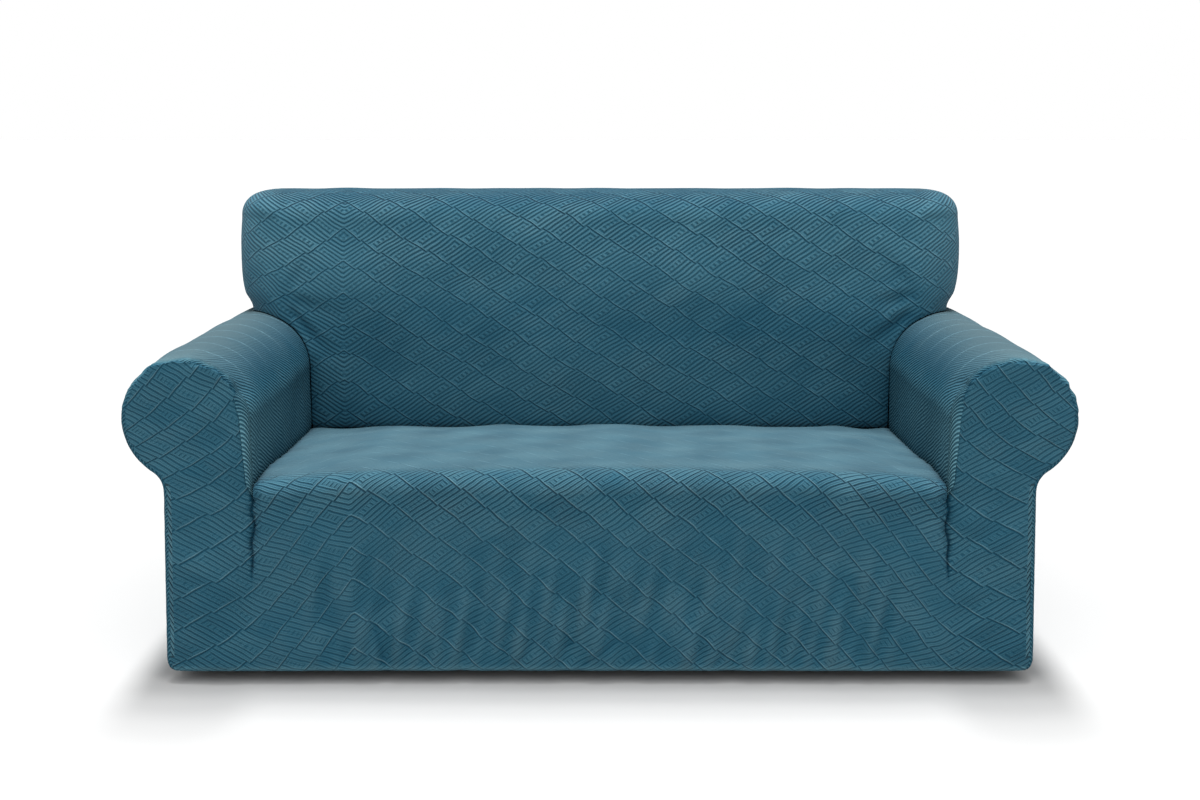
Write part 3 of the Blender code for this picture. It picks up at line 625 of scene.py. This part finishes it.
def arm_front(side, arm):
    """Scroll and post of one arm's front, from the dart's line to the outer side."""
    inset = seam_inset(side, arm)
    u, z = arm.u - inset * arm.nu, arm.height(CLOTH) - inset * arm.nz
    top = int(np.argmin(abs(arm.facing - SCROLL_TOP) + 1e3 * ~arm.is_roll))
    posts, hem = len(FRONT_LEVEL), len(HEM_ROWS)

    def inner_edge(on_post, over_arm):
        return concatenate([np.broadcast_to(on_post, posts), over_arm[1:top + 1]])

    in_u, in_z = inner_edge(dart_x(FRONT_LEVEL), u), inner_edge(FRONT_LEVEL, z)
    in_arc, in_pull = inner_edge(arm.arc[0], arm.arc), inner_edge(0.0, arm.pull)
    under = inner_edge(FRONT_UNDER, zeros(len(u)))[:, None]
    # Pair the two edges by a common share of their way up, first of the post and then of the scroll.
    outer = [a[:top - 1:-1] for a in (u, z, arm.arc, arm.pull)]
    run_in, run_out = run_along(in_u, in_z), run_along(*outer[:2])
    lower = len(run_out) // 2
    post_in, post_out = run_in[posts - 1], float(np.interp(DART_TOP_Z, outer[1][:lower], run_out[:lower]))
    scroll = (run_in - post_in) / (run_in[-1] - post_in)
    target = where(scroll <= 0, run_in / post_in * post_out, mix(post_out, run_out[-1], scroll))
    out_u, out_z, out_arc, out_pull = (np.interp(target, run_out, a) for a in outer)
    # The hem's rows keep their own level right across.
    hem_under, hem_z = FRONT_UNDER[:hem], FRONT_LEVEL[:hem]
    hem_inset = maximum(LEAST_INSET, ROLL_INSET[0][1] - hem_under)
    out_u[:hem] = HALF_SIDE - foot_draw(hem_z) - hem_under - hem_inset
    out_z[:hem] = hem_z
    out_z[hem:] = maximum(out_z[hem:], HEM_RADIUS + 0.0005)
    share = spaced([(0.0, 0.006), (0.05, 0.014), (0.14, 0.024), (0.86, 0.014), (0.95, 0.006), (1.0, 1.0)])
    gx, gz = mix(in_u[:, None], out_u[:, None], share), mix(in_z[:, None], out_z[:, None], share)
    x = side * gx
    width = hypot(out_u - in_u, out_z - in_z)[:, None]
    from_out, from_in = width * (1 - share), width * share
    flat = under <= 0
    above = (np.arange(len(in_z)) >= posts)[:, None]
    drawn = (dart_setback(in_z) - EDGE_SETBACK)[:, None]
    y = under - front_relief(x, gz) * smooth(1 - under / 0.02)
    y += EDGE_SETBACK * (fade(from_out, 0.006) + above * fade(from_in, 0.006))
    y += above * drawn * fade(from_in, 0.014)
    y -= 0.0012 * smooth(from_out / 0.05) * smooth(from_in / 0.05) * flat
    y -= 0.001 * clouds(gx, gz, 0.09, 45 + side) * smooth(from_out / 0.02) * smooth(from_in / 0.03) * flat
    # Painted shade by the dart and painted light along the hem.
    tone = 0.55 - dart_painted_shade(gx, gz) + hem_painted_light(gz)
    # Each edge: how strongly it is puckered, where, how far away, and the puckers' height, reach and groove.
    # The groove beside each seam gets painted shade.
    for pull, arc, away, pucker, reach, groove in (
            (out_pull[:, None] * flat, out_arc, from_out, 0.0009, 0.011, 0.0016),
            (in_pull[:, None], in_arc, from_in, 0.0014, 0.012, 0.0014)):
        close = pull * bump(away, SEAM_GROOVE)
        y = y - pucker * pull * seam_pucker(side, arc)[:, None] * fade(away, reach) + groove * close
        tone -= 0.6 * close
    weave = front_weave(x, gz - 0.8 * under)
    post = (gz > STRIP_Z[0]) & (gz < STRIP_Z[1])
    strip = (gz + EDGE_SLOPE * from_out) / (CELL_RIBS * EDGE_RIB), 0.25
    strip = [where(post, own, other) for own, other in zip(strip, weave)]

    def part(columns, cells, steep):
        values = (x, y, gz, 1.15 + 1.8 * steep, tone + 0.3 * steep, *cells)
        *point, depth, light, along, across = (np.broadcast_to(a, gx.shape)[:, columns] for a in values)
        return Grid(*point, (along, across), depth, light, flip=side < 0)

    split = int(np.argmin(abs(share - EDGE_SHARE)))
    return [part(slice(None, split + 1), weave, 0.0), part(slice(split, None), strip, post)]


# ---- arm sleeves
def arm_sleeve(side, arm):
    """Rows run back from the front seam, columns over the arm from the seat crease to the hem."""
    start = arm.seam_y + CLOTH * 0.3
    foot = arm.is_roll & (arm.nz > 0) & (arm.u <= WING_SIDE[0][1])
    end = where(arm.is_inner, curve(BACK_FACE, arm.height(SEAT_DEPTH)) + CLOTH, REAR_SEAM_Y)
    end = where(foot, wing_foot_y(arm.u) + CLOTH, end) - arm.under
    turn = linspace(0, pi / 2, 9)[:, None]
    y_corner = start + arm.corner * (1 - cos(turn))
    body = spaced([(0.0, 0.0028), (0.06, 0.0055), (0.55, 0.0075), (0.97, 0.005), (1.0, 1.0)])[1:, None] ** 1.1
    y_body = mix(y_corner[-1], end, body)
    y = concatenate([y_corner, y_body])
    out = -concatenate([seam_inset(side, arm) * (1 - sin(turn)), np.zeros_like(y_body)])
    low = deck_side(y) - CLOTH
    z = where(arm.is_inner, mix(low - TUCK, ROLL_Z, arm.rise), arm.z)
    arc = where(arm.is_inner, z - ROLL_Z, arm.arc)
    behind, before = y - start, end - y
    for angle, depth, length in GATHERS[side]:
        out -= depth * bump(arm.facing - angle, GATHER_WIDTH) * arm.is_roll * smooth(1.0 - y / length)
    strength = arm.pull * (arm.under <= 0)
    pucker = seam_pucker(side, arm.arc)
    out += 0.001 * strength * pucker * fade(behind, 0.016)
    out -= 0.002 * strength * bump(behind, 0.0026)
    out += 0.0008 * strength * waves(arm.arc + 0.25 * y, 0.045, 51 + side) * fade(behind, 0.07)
    out += 0.0008 * clouds(arc, y, 0.22, 61 + side) * smooth(behind / 0.05)
    full = bump(arm.facing - 48.0, 42.0) * arm.is_roll
    out += 0.0042 * full * smooth(behind / 0.16) * smooth(before / 0.12)
    out -= arm.rear_inset * fade(before, 0.006)
    out -= 0.0022 * fade(before, 0.005) * (arm.is_inner | foot)
    out -= 0.002 * fade(z - low, 0.005) * arm.is_inner
    inner = smooth((0.08 - arm.arc) / 0.10)
    over = bump(arm.arc - CREST, 0.09)
    depth = 0.80 + 0.95 * inner + fade(behind, 0.06) * (1.0 - over) + 0.9 * inner * fade(behind, 0.16)
    # Painted light on the crest, painted shade in the front seam's groove and along the far edge.
    tone = 0.5 + 0.12 * over - 0.45 * bump(behind, SEAM_GROOVE) * strength - 0.2 * fade(before, 0.004)
    # Painted light on the inner wall, most near the front seam and least near the back.
    tone += inner * (0.38 * fade(behind, 0.15) + 0.26 - 0.14 * fade(before, 0.10))
    # Painted light low on the inner side and painted shade just above it, to soften the edge where the roll
    # turns away from the lights overhead.
    tone += 0.16 * bump(arm.arc + 0.035, 0.055)
    tone -= (0.03 + 0.21 * smooth(behind / 0.25)) * bump(arm.arc - 0.075, 0.055)
    # Painted highlight over the crest close to the front seam, lighter close to the seam low on the outside,
    # and painted highlights on the puckers' raised parts.
    tone += 0.46 * fade(behind - 0.010, 0.055) * smooth(1.4 * over)
    tone += 0.12 * fade(behind, 0.012) * arm.is_low
    tone += 0.3 * strength * maximum(0.0, pucker) * bump(behind - 0.007, 0.005)
    # Grey with a painted sheen over the arm's top, less in the seam's groove and on the inner side.
    bloom = 0.42 * bump(arm.arc - 0.205, 0.11) * (1.0 - strength * bump(behind, 0.009)) - 0.08 * inner
    lines = smooth(1.6 * bump(arm.arc - 0.185, 0.085)) * smooth(behind / 0.04)
    turned = pi / 2 * minimum(arm.corner, behind)
    weave = sleeve_weave(arc, turned, maximum(0.0, behind - arm.corner))
    x, z = side * (arm.u + out * arm.nu), z + out * arm.nz
    return Grid(x, y, z, weave, depth, tone, bloom, lines, flip=side < 0)


# ---- back panels
def back_relief(x, z):
    """Tension folds and swells of the back's face, forwards."""
    folds = 0.55 * pull_depth(x, z, 0.6, PULL_SWELL) - 0.35 * pull_depth(x, z, 0.5)
    out = (0.0012 * clouds(x, z, 0.20, 71) + folds) * smooth((WING_BORDER_X - abs(x)) / BORDER_FADE)
    out -= 0.007 * fade(z - (DECK_SIDE[-1][1] - CLOTH), 0.007) * (abs(x) < HALF_INNER + 0.01)
    return out - 0.0025 * fade(HALF_INNER - abs(x), 0.008) * smooth((ROLL_Z + 0.03 - z) / 0.03)


def back_painted_light(x, z):
    # Painted light and shade: by height, in patches, and darker towards the lower sides by the arms.
    tone = 0.5 + curve(BACK_PAINTED_LIGHT, z) - 0.1 * smooth((abs(x) - 0.40) / 0.16) * smooth((0.58 - z) / 0.12)
    # Painted light on the swells over the pulls and painted shade in the pulls.
    pulls = 16.0 * pull_depth(x, z, 0.5, PULL_SWELL) - 32.0 * pull_depth(x, z, 0.5)
    return tone + spots(BACK_PATCHES, x, z) + pulls


def weave_depth(z):
    """How deep the back's weave is: deeper towards the top."""
    return 1.0 + 0.45 * smooth((z - 0.62) / 0.16)


def back_panel():
    """The inside back's grids, and the outline (u, z) of its rear seam on one side."""
    half = HALF_INNER - SEAM
    middle = spaced([(-half, 0.0045), (-0.50, 0.0055), (0.50, 0.0045), (half, 1.0)])
    z = linspace(DECK_SIDE[-1][1] - CLOTH, ROLL_Z, 32)[:, None]
    # Painted shade along the lower back's sides, where it meets the arms.
    tone = back_painted_light(middle, z) - 0.25 * fade(HALF_INNER - abs(middle), 0.010)
    lower = Grid(middle, back_face(middle, z) - back_relief(middle, z), z, back_weave(middle, z), 1.0, tone)
    # The upper face stands on the arms' rolls at its sides.
    share = linspace(0, 1, FACE_ROWS)[:, None]
    foot_u = ROLL_X + (ROLL_RADIUS + LIFT) * cos(linspace(pi, roll_angle(WING_BORDER_X), FOOT_COLUMNS))
    foot_u = maximum(foot_u, half)
    side_x = mix(foot_u, linspace(half, WING_BORDER_X, FOOT_COLUMNS), sqrt(share))
    x = np.hstack([-side_x[:, :0:-1], np.broadcast_to(middle, (FACE_ROWS, len(middle))), side_x[:, 1:]])
    feet = concatenate([on_roll(foot_u[:0:-1]), np.full(len(middle), ROLL_Z), on_roll(foot_u[1:])])
    z = mix(feet, WING_TOP_Z, share)
    settle = where(feet > ROLL_Z, smooth(share * 6.0), 1.0)
    tuck = fade(z - feet, 0.005) * (feet > ROLL_Z)
    y = mix(curve(BACK_FACE, z), back_face(x, z), settle) - back_relief(x, z) * settle + 0.002 * tuck
    # Painted shade in the tuck where the face stands on the rolls.
    upper = Grid(x, y, z, back_weave(x, z), weave_depth(z), back_painted_light(x, z) - 0.25 * tuck)
    rim, edge = back_rim(x[-1, 1:-1], y[-1, 1:-1], y[:, -1])
    return [lower, upper, rim], edge


def back_rim(top_x, top_y, border_y):
    """Rings from the face's top edge and side border to the rear seam, and the last ring's (u, z)."""
    ring = concatenate([linspace(0, 4, 15)[:-1], linspace(4, 7, 13)])[:, None]
    side_out, side_back, top_out, top_back = (
        on_ring(values, ring) for values in (SIDE_OUT, SIDE_BACK, TOP_OUT, TOP_BACK))

    def rim(own, soft):
        """Shares out and back of the rings: softened between side and top, but their own at the rear seam."""
        upper = mix(soft, own, (ring / RINGS[-1]) ** 2)
        return mix(side_out, top_out, upper), mix(side_back, top_back, upper)

    # One side of the border, from the arm up to the corner.
    up = linspace(0, 1, FACE_ROWS)
    border_z = mix(on_roll(WING_BORDER_X), WING_TOP_Z, up)
    foot_u = WING_BORDER_X + WING_REACH * side_out
    reach = curve(WING_SIDE, border_z) - WING_BORDER_X
    out, back = rim(0.0, CORNER_SOFT * smooth((border_z - CORNER_FROM_Z) / (WING_TOP_Z - CORNER_FROM_Z)))
    side = (mix(foot_u, WING_BORDER_X + reach * out, smooth(up * 5.0)), mix(border_y, REAR_SEAM_Y, back),
            mix(on_roll(foot_u), WING_TOP_Z, up))
    # The corner, from the side to the top edge.
    turn = linspace(0, pi / 2, 15)[1:]
    reach, rise = float(curve(WING_SIDE, WING_TOP_Z)) - WING_BORDER_X, TOP_Z - WING_TOP_Z
    level, upright = reach * maximum(0.0, cos(turn)) ** WING_CORNER, sin(turn)
    out, back = rim(upright ** 2, mix(CORNER_SOFT, 1.0 - CORNER_SOFT, upright ** 2))
    corner = (WING_BORDER_X + level * out, mix(border_y[-1], REAR_SEAM_Y, back),
              WING_TOP_Z + rise * upright * out)
    right = [np.hstack(pair) for pair in zip(side, corner)]
    # The top edge, and then the whole rim from the left arm to the right one.
    near_corner = smooth((abs(top_x) - CORNER_FROM_X) / (WING_BORDER_X - CORNER_FROM_X))
    out, back = rim(1.0, 1.0 - CORNER_SOFT * near_corner)
    top = (np.broadcast_to(top_x, out.shape), mix(top_y, REAR_SEAM_Y, back), WING_TOP_Z + rise * out)
    x, y, z = (np.hstack([sign * wing, crest, wing[:, ::-1]])
               for sign, wing, crest in zip((-1, 1, 1), right, top))
    path = run_along(x, y, z)
    # The weave runs on over the rim in the direction in which the border leans there.
    lean, straight = np.arctan2(rise * upright, level), zeros(FACE_ROWS)
    lean = concatenate([straight, lean, np.full(len(top_x), pi / 2), lean[::-1], straight])
    wx, wz = x[0] + np.sign(x[0]) * path * cos(lean), z[0] + path * sin(lean)
    swell = 0.0005 * clouds(wx, wz, 0.15, 81) * smooth(path / 0.03) * smooth((path[-1] - path) / 0.02)
    x, y, z = raised(x, y, z, swell)
    on_top = lean / (pi / 2)
    # Painted shade along the rear seam and over the top of the rim.
    tone = back_painted_light(x, z) - 0.2 * fade(path[-1] - path, 0.004)
    tone -= 0.28 * smooth((z - 0.820) / 0.045) * on_top ** 3
    depth = weave_depth(z) + 0.9 * smooth((z - 0.835) / 0.03) * on_top
    return Grid(x, y, z, back_weave(wx, wz), depth, tone), (right[0][-1], right[2][-1])


def outside_back(edge, arm):
    """The rear sheet: rows up its outline, columns across."""
    index = np.nonzero(arm.is_low | (arm.arc > REAR_ARC))[0][::-1]
    low = (arm.u - arm.rear_inset * arm.nu, arm.z - arm.rear_inset * arm.nz, arm.under)
    high = (*edge, zeros(len(edge[0])))
    u, z, under = (concatenate([a[index], b[1:]])[::2, None] for a, b in zip(low, high))
    share = linspace(-1, 1, REAR_COLUMNS)
    x = -share * u
    drawn = REAR_DRAW * sin(pi * z / TOP_Z) * (1 - share ** 2)
    drawn += 0.0012 * (clouds(x, z, 0.22, 91) + 1) * smooth((1 - abs(share)) / 0.05)
    return Grid(x, DEPTH - under - drawn * (under <= 0), z, back_weave(x, z - under))


# ---- materials
class Value:
    """A number in a material's nodes. Sums, products and math() add the nodes that work them out."""

    def __init__(self, nodes, socket):
        self.nodes, self.socket = nodes, socket

    def math(self, operation, *others, clamp=False):
        return self.nodes.math(operation, self, *others, clamp=clamp)

    def __add__(self, other):
        return self.math("ADD", other)

    def __sub__(self, other):
        return self.math("SUBTRACT", other)

    def __rsub__(self, other):
        return self.nodes.math("SUBTRACT", other, self)

    def __mul__(self, other):
        return self.math("MULTIPLY", other)

    def __abs__(self):
        return self.math("ABSOLUTE")


class Nodes:
    """A material's node tree, with short calls to add nodes."""

    def __init__(self, name):
        self.material = bpy.data.materials.new(name)
        self.material.use_nodes = True
        self.tree = self.material.node_tree
        self.inputs = self.tree.nodes["Principled BSDF"].inputs

    def add(self, kind, inputs=None, **settings):
        node = self.tree.nodes.new(kind)
        for key, value in settings.items():
            setattr(node, key, value)
        for key, value in (inputs or {}).items():
            self.plug(node.inputs[key], value)
        return node

    def plug(self, socket, value):
        if isinstance(value, Value):
            value = value.socket
        if isinstance(value, bpy.types.NodeSocket):
            self.tree.links.new(value, socket)
        else:
            socket.default_value = value

    def math(self, operation, *values, clamp=False):
        node = self.add("ShaderNodeMath", dict(enumerate(values)), operation=operation, use_clamp=clamp)
        return Value(self, node.outputs[0])

    def colour(self, a, b, share, clamp=True):
        node = self.add("ShaderNodeMix", {6: a, 7: b, 0: share}, data_type="RGBA", clamp_factor=clamp)
        return node.outputs[2]

    def noise(self, vector, scale, detail=2.0, rough=0.5):
        inputs = {"Vector": vector, "Scale": scale, "Detail": detail, "Roughness": rough}
        return Value(self, self.add("ShaderNodeTexNoise", inputs).outputs["Fac"])

    def cell(self, x, y):
        """A random value of its own for each whole x and y, from -0.5 to 0.5."""
        cell = self.add("ShaderNodeCombineXYZ", {0: x, 1: y}).outputs[0]
        chance = self.add("ShaderNodeTexWhiteNoise", {"Vector": cell}, noise_dimensions="2D")
        return Value(self, chance.outputs["Value"]) - 0.5

    def layer(self, name):
        return self.add("ShaderNodeUVMap", uv_map=name).outputs[0]

    def split(self, vector):
        """The first two parts of a vector."""
        return [Value(self, part) for part in self.add("ShaderNodeSeparateXYZ", {0: vector}).outputs[:2]]


def peak(value, centre, width):
    """1 at the centre, falling straight to 0 at the width."""
    return (abs(value - centre) * (-1.0 / width) + 1.0).math("MAXIMUM", 0.0)


Base = namedtuple("Base", "along across vector depth tone bloom lines")


def weave_base(nodes):
    """Place in the weave's cells, a little uneven, and the layers of weave depth, painted light, sheen and
    lines.
    """
    moved = weave = nodes.layer("weave")
    for scale, reach in ((0.42, 0.34), (1.8, 0.07)):
        wander = nodes.add("ShaderNodeTexNoise", {"Vector": weave, "Scale": scale, "Detail": 2.0})
        shift = nodes.add("ShaderNodeVectorMath", {0: wander.outputs["Color"], 1: (0.5, 0.5, 0.5)},
                          operation="SUBTRACT")
        moved = nodes.add("ShaderNodeVectorMath", {0: shift.outputs[0], 1: (reach, reach, 0.0), 2: moved},
                          operation="MULTIPLY_ADD").outputs[0]
    depth_and_painted_light, bloom = nodes.layer("depth_and_painted_light"), nodes.layer("bloom")
    return Base(*nodes.split(moved), moved, *nodes.split(depth_and_painted_light), *nodes.split(bloom))


def rib_profile(value, half):
    """A dark groove on whole values and, as strong as half says, one halfway, from about -1 to 1."""
    turn = (value * (2 * pi)).math("COSINE")
    return (turn * turn * (-2.0 * half) + half - turn) * (1.0 / (1.0 + 0.5 * half))


# A fret: how strong the groove halfway between its ribs is, how deep its rails' groove and how bright the
# painted highlight on their upper edge is, how strong its ribs, the strokes beside its rails and the dots of
# its joints are, and how much one block of ribs differs from the next.
Fret = namedtuple("Fret", "half groove lit ribs strokes dots blocks")
FRONT_FRET = Fret(0.85, 2.0, 2.3, 1.15, 0.90, 0.15, 0.65)
BACK_FRET = Fret(0.15, 1.9, 1.0, 1.15, 0.95, 0.10, 0.55)


def fret_height(nodes, base, rule):
    """Blocks of ribs whose ends hook into short strokes, between rails with a dark groove and a painted
    highlight.

    Like every height rule it returns the height, about -1 to 1, and how much pale colour goes on there, which
    here is the painted highlight along the rails.
    """
    place = base.along.math("WRAP", 0.5, -0.5) * CELL_RIBS
    column = base.along.math("ROUND")
    stray = nodes.cell(column, base.across.math("ROUND")) * RAIL_STRAY
    beyond = base.across.math("WRAP", 0.5, -0.5) + stray + place * (RAIL_SLANT / CELL_RIBS)
    # Above a rail the ribs are counted the other way, so that the strokes on its two sides run apart.
    rib = place * (beyond.math("GREATER_THAN", 0.0) * -2.0 + 1.0)
    near = abs(beyond) * (2.0 * HALF_CELL)
    hooked = (rib + (HOOK - near).math("MAXIMUM", JOINT)).math("GREATER_THAN", 0.0)
    hooked = hooked * rib.math("LESS_THAN", JOINT)
    clear = (nodes.noise(base.vector, 1.1) * 3.2).math("ADD", -1.0, clamp=True)
    ribs = rib_profile(rib, rule.half) * rule.ribs
    strokes = rib_profile(near, rule.half) * rule.strokes
    height = ribs + (strokes - ribs) * (hooked * clear)
    dots = ((near * (2 * pi)).math("COSINE") * -0.5 + 0.5) * clear * peak(place, 0.0, JOINT)
    block = nodes.cell(column, base.across.math("FLOOR"))
    height = (height + dots * rule.dots + block * rule.blocks) * (1.0 - peak(beyond, 0.0, 0.09))
    # The painted highlight along a rail's upper edge, raised in the height too.
    lit = (base.along * (2 * pi) + 1.2).math("SINE") * (0.5 * rule.lit) + 0.7 * rule.lit
    lit = lit * peak(beyond, 0.038, 0.032)
    return lit + height - peak(beyond, -0.012, 0.036) * rule.groove, lit * 0.20


def sleeve_height(nodes, base):
    """Plain slanting ribs with fine broken light lines across them."""
    place = (base.across * (SLEEVE_CELL / LINE_STEP)).math("WRAP", 0.5, -0.5)
    line = peak(place, 0.0, 0.036) * (nodes.noise(base.vector, 9.0) * 2.4 - 0.5) * base.lines
    return line * 1.5 + rib_profile(base.along * (SLEEVE_CELL / SLEEVE_RIB), 0.15), line


BLUE_DEEP = (0.002, 0.037, 0.068, 1.0)
BLUE = (0.018, 0.079, 0.119, 1.0)
BLUE_LIGHT = (0.052, 0.145, 0.192, 1.0)
# Grey of the random patches and of the painted sheen.
GREY = (0.105, 0.112, 0.098, 1.0)
# Pale of the painted highlight along the fret's rails and of the sleeves' light lines.
PALE = (0.135, 0.255, 0.315, 1.0)
RELIEF = 0.0007          # half the height of a rib
RELIEF_PAINTED_LIGHT = 0.21       # how much the weave's height, as painted light and shade of its relief, the fine grain and the large patches change the tone,
FINE_TONE = 0.30
PATCH_TONE = 0.40
PATCH_DEPTH = 1.3        # and how much the patches change the weave's depth


def jacquard(name, sheen, height_rule, *settings):
    nodes = Nodes(name)
    base = weave_base(nodes)
    height, pale = height_rule(nodes, base, *settings)
    fine = nodes.noise(base.vector, 22.0, 2.0, 0.6) - 0.5
    patch = nodes.noise(base.vector, 0.50, 3.0, 0.6) - 0.5
    thread = height * base.depth * (patch * PATCH_DEPTH + 1.0)
    # The lightness: the relief's painted light and shade, each piece's painted light and tone, and uneven
    # grain and patches.
    level = thread * RELIEF_PAINTED_LIGHT + base.tone + fine * FINE_TONE + patch * PATCH_TONE
    low = nodes.colour(BLUE_DEEP, BLUE, level * 2.0)
    blue = nodes.colour(low, BLUE_LIGHT, (level * 2.0 - 1.0).math("MAXIMUM", 0.0), clamp=False)
    # Grey in random patches and as the painted sheen.
    cloth = nodes.colour(blue, GREY, patch * 0.2 + base.bloom)
    rise = nodes.add("ShaderNodeBump", {"Strength": 1.0, "Distance": RELIEF, "Height": thread + fine * 0.4})
    # Pale goes on as the painted highlight along the fret's rails and as the sleeves' light lines.
    for socket, value in {
            "Base Color": nodes.colour(cloth, PALE, pale * 0.7), "Normal": rise.outputs[0],
            "Roughness": fine * 0.2 + 0.78, "Specular IOR Level": 0.06, "Sheen Weight": sheen,
            "Sheen Roughness": 0.5, "Sheen Tint": (0.80, 0.90, 1.0, 1.0)}.items():
        nodes.plug(nodes.inputs[socket], value)
    return nodes.material


# ---- studio
FLOOR_Z = -0.024
FLOOR_HALF = 60.0
FLOOR_GREYS = (0.42, 0.42, 0.42, 1.0), (0.43, 0.43, 0.43, 1.0)
ROOM_LIGHT = 0.42        # of the white room on the cover; the room itself is seen white
# A row of lights overhead, from behind to before the cover, and a broad one in front.
# Rows hold (name, power, angle, tilt).
LIGHTS = [("ceiling_light_1", 1.1, 9.0, -23.0), ("ceiling_light_2", 1.5, 9.0, -14.0),
          ("ceiling_light_3", 1.6, 9.0, -5.0), ("ceiling_light_4", 1.0, 9.0, 4.0),
          ("front_light", 2.0, 70.0, 42.0)]
CAMERA_DISTANCE = 2.70315     # in front of the cover's front face
CAMERA_Z = 1.04507
CAMERA_DOWN = 10.816
CAMERA_LENS = 44.94
CAMERA_SENSOR = 36.0


def put(name, data, location=(0.0, 0.0, 0.0), tilt=0.0):
    """An object of the scene, tilted about X by an angle in degrees."""
    thing = bpy.data.objects.new(name, data)
    thing.location = location
    thing.rotation_euler = (np.radians(tilt), 0.0, 0.0)
    bpy.context.scene.collection.objects.link(thing)
    return thing


def studio():
    mesh = bpy.data.meshes.new("floor")
    corners = [(-1, -1), (1, -1), (1, 1), (-1, 1)]
    mesh.from_pydata([(x * FLOOR_HALF, y * FLOOR_HALF, FLOOR_Z) for x, y in corners], [], [(0, 1, 2, 3)])
    pale = Nodes("floor_pale")
    speck = pale.noise(pale.add("ShaderNodeTexCoord").outputs["Object"], 3.0)
    pale.plug(pale.inputs["Base Color"], pale.colour(*FLOOR_GREYS, speck))
    pale.plug(pale.inputs["Roughness"], 0.9)
    pale.plug(pale.inputs["Specular IOR Level"], 0.0)
    mesh.materials.append(pale.material)
    put("floor", mesh)

    world = bpy.data.worlds.new("studio")
    world.use_nodes = True
    tree = world.node_tree
    seen = tree.nodes.new("ShaderNodeLightPath").outputs["Is Camera Ray"]
    strength = tree.nodes.new("ShaderNodeMix")
    strength.inputs[2].default_value = ROOM_LIGHT
    strength.inputs[3].default_value = 1.0
    tree.links.new(seen, strength.inputs[0])
    tree.nodes["Background"].inputs["Color"].default_value = (1.0, 1.0, 1.0, 1.0)
    tree.links.new(strength.outputs[0], tree.nodes["Background"].inputs["Strength"])
    bpy.context.scene.world = world

    for name, power, angle, tilt in LIGHTS:
        light = bpy.data.lights.new(name, "SUN")
        light.energy = power
        light.angle = np.radians(angle)
        put(name, light, tilt=tilt)

    bpy.context.scene.view_settings.view_transform = "Standard"
    bpy.context.scene.view_settings.look = "None"


def camera():
    data = bpy.data.cameras.new("camera")
    data.sensor_width = CAMERA_SENSOR
    data.lens = CAMERA_LENS
    location = (0.0, -DEPTH / 2 - CAMERA_DISTANCE, CAMERA_Z)
    bpy.context.scene.camera = put("camera", data, location, 90.0 - CAMERA_DOWN)


# ---- the cover
def dress():
    front_cloth = jacquard("front_jacquard", 0.04, fret_height, FRONT_FRET)
    back_cloth = jacquard("back_jacquard", 0.08, fret_height, BACK_FRET)
    rib_cloth = jacquard("rib_jacquard", 0.0, sleeve_height)
    outline = Outline(STATION_STEP)
    front = apron() + seat() + arm_front(-1, outline) + arm_front(1, outline)
    cloth_sheet("seat_front_cloth", front, front_cloth, "seat_front_panel")
    for side, hand in ((-1, "left"), (1, "right")):
        cloth_sheet(f"arm_sleeve_cloth_{hand}", [arm_sleeve(side, outline)], rib_cloth, f"arm_sleeve_{hand}")
    grids, edge = back_panel()
    cloth_sheet("inside_back_cloth", grids, back_cloth, "inside_back_panel")
    cloth_sheet("outside_back_cloth", [outside_back(edge, outline)], back_cloth, "outside_back_panel")


dress()
studio()
camera()
bpy.context.view_layer.update()
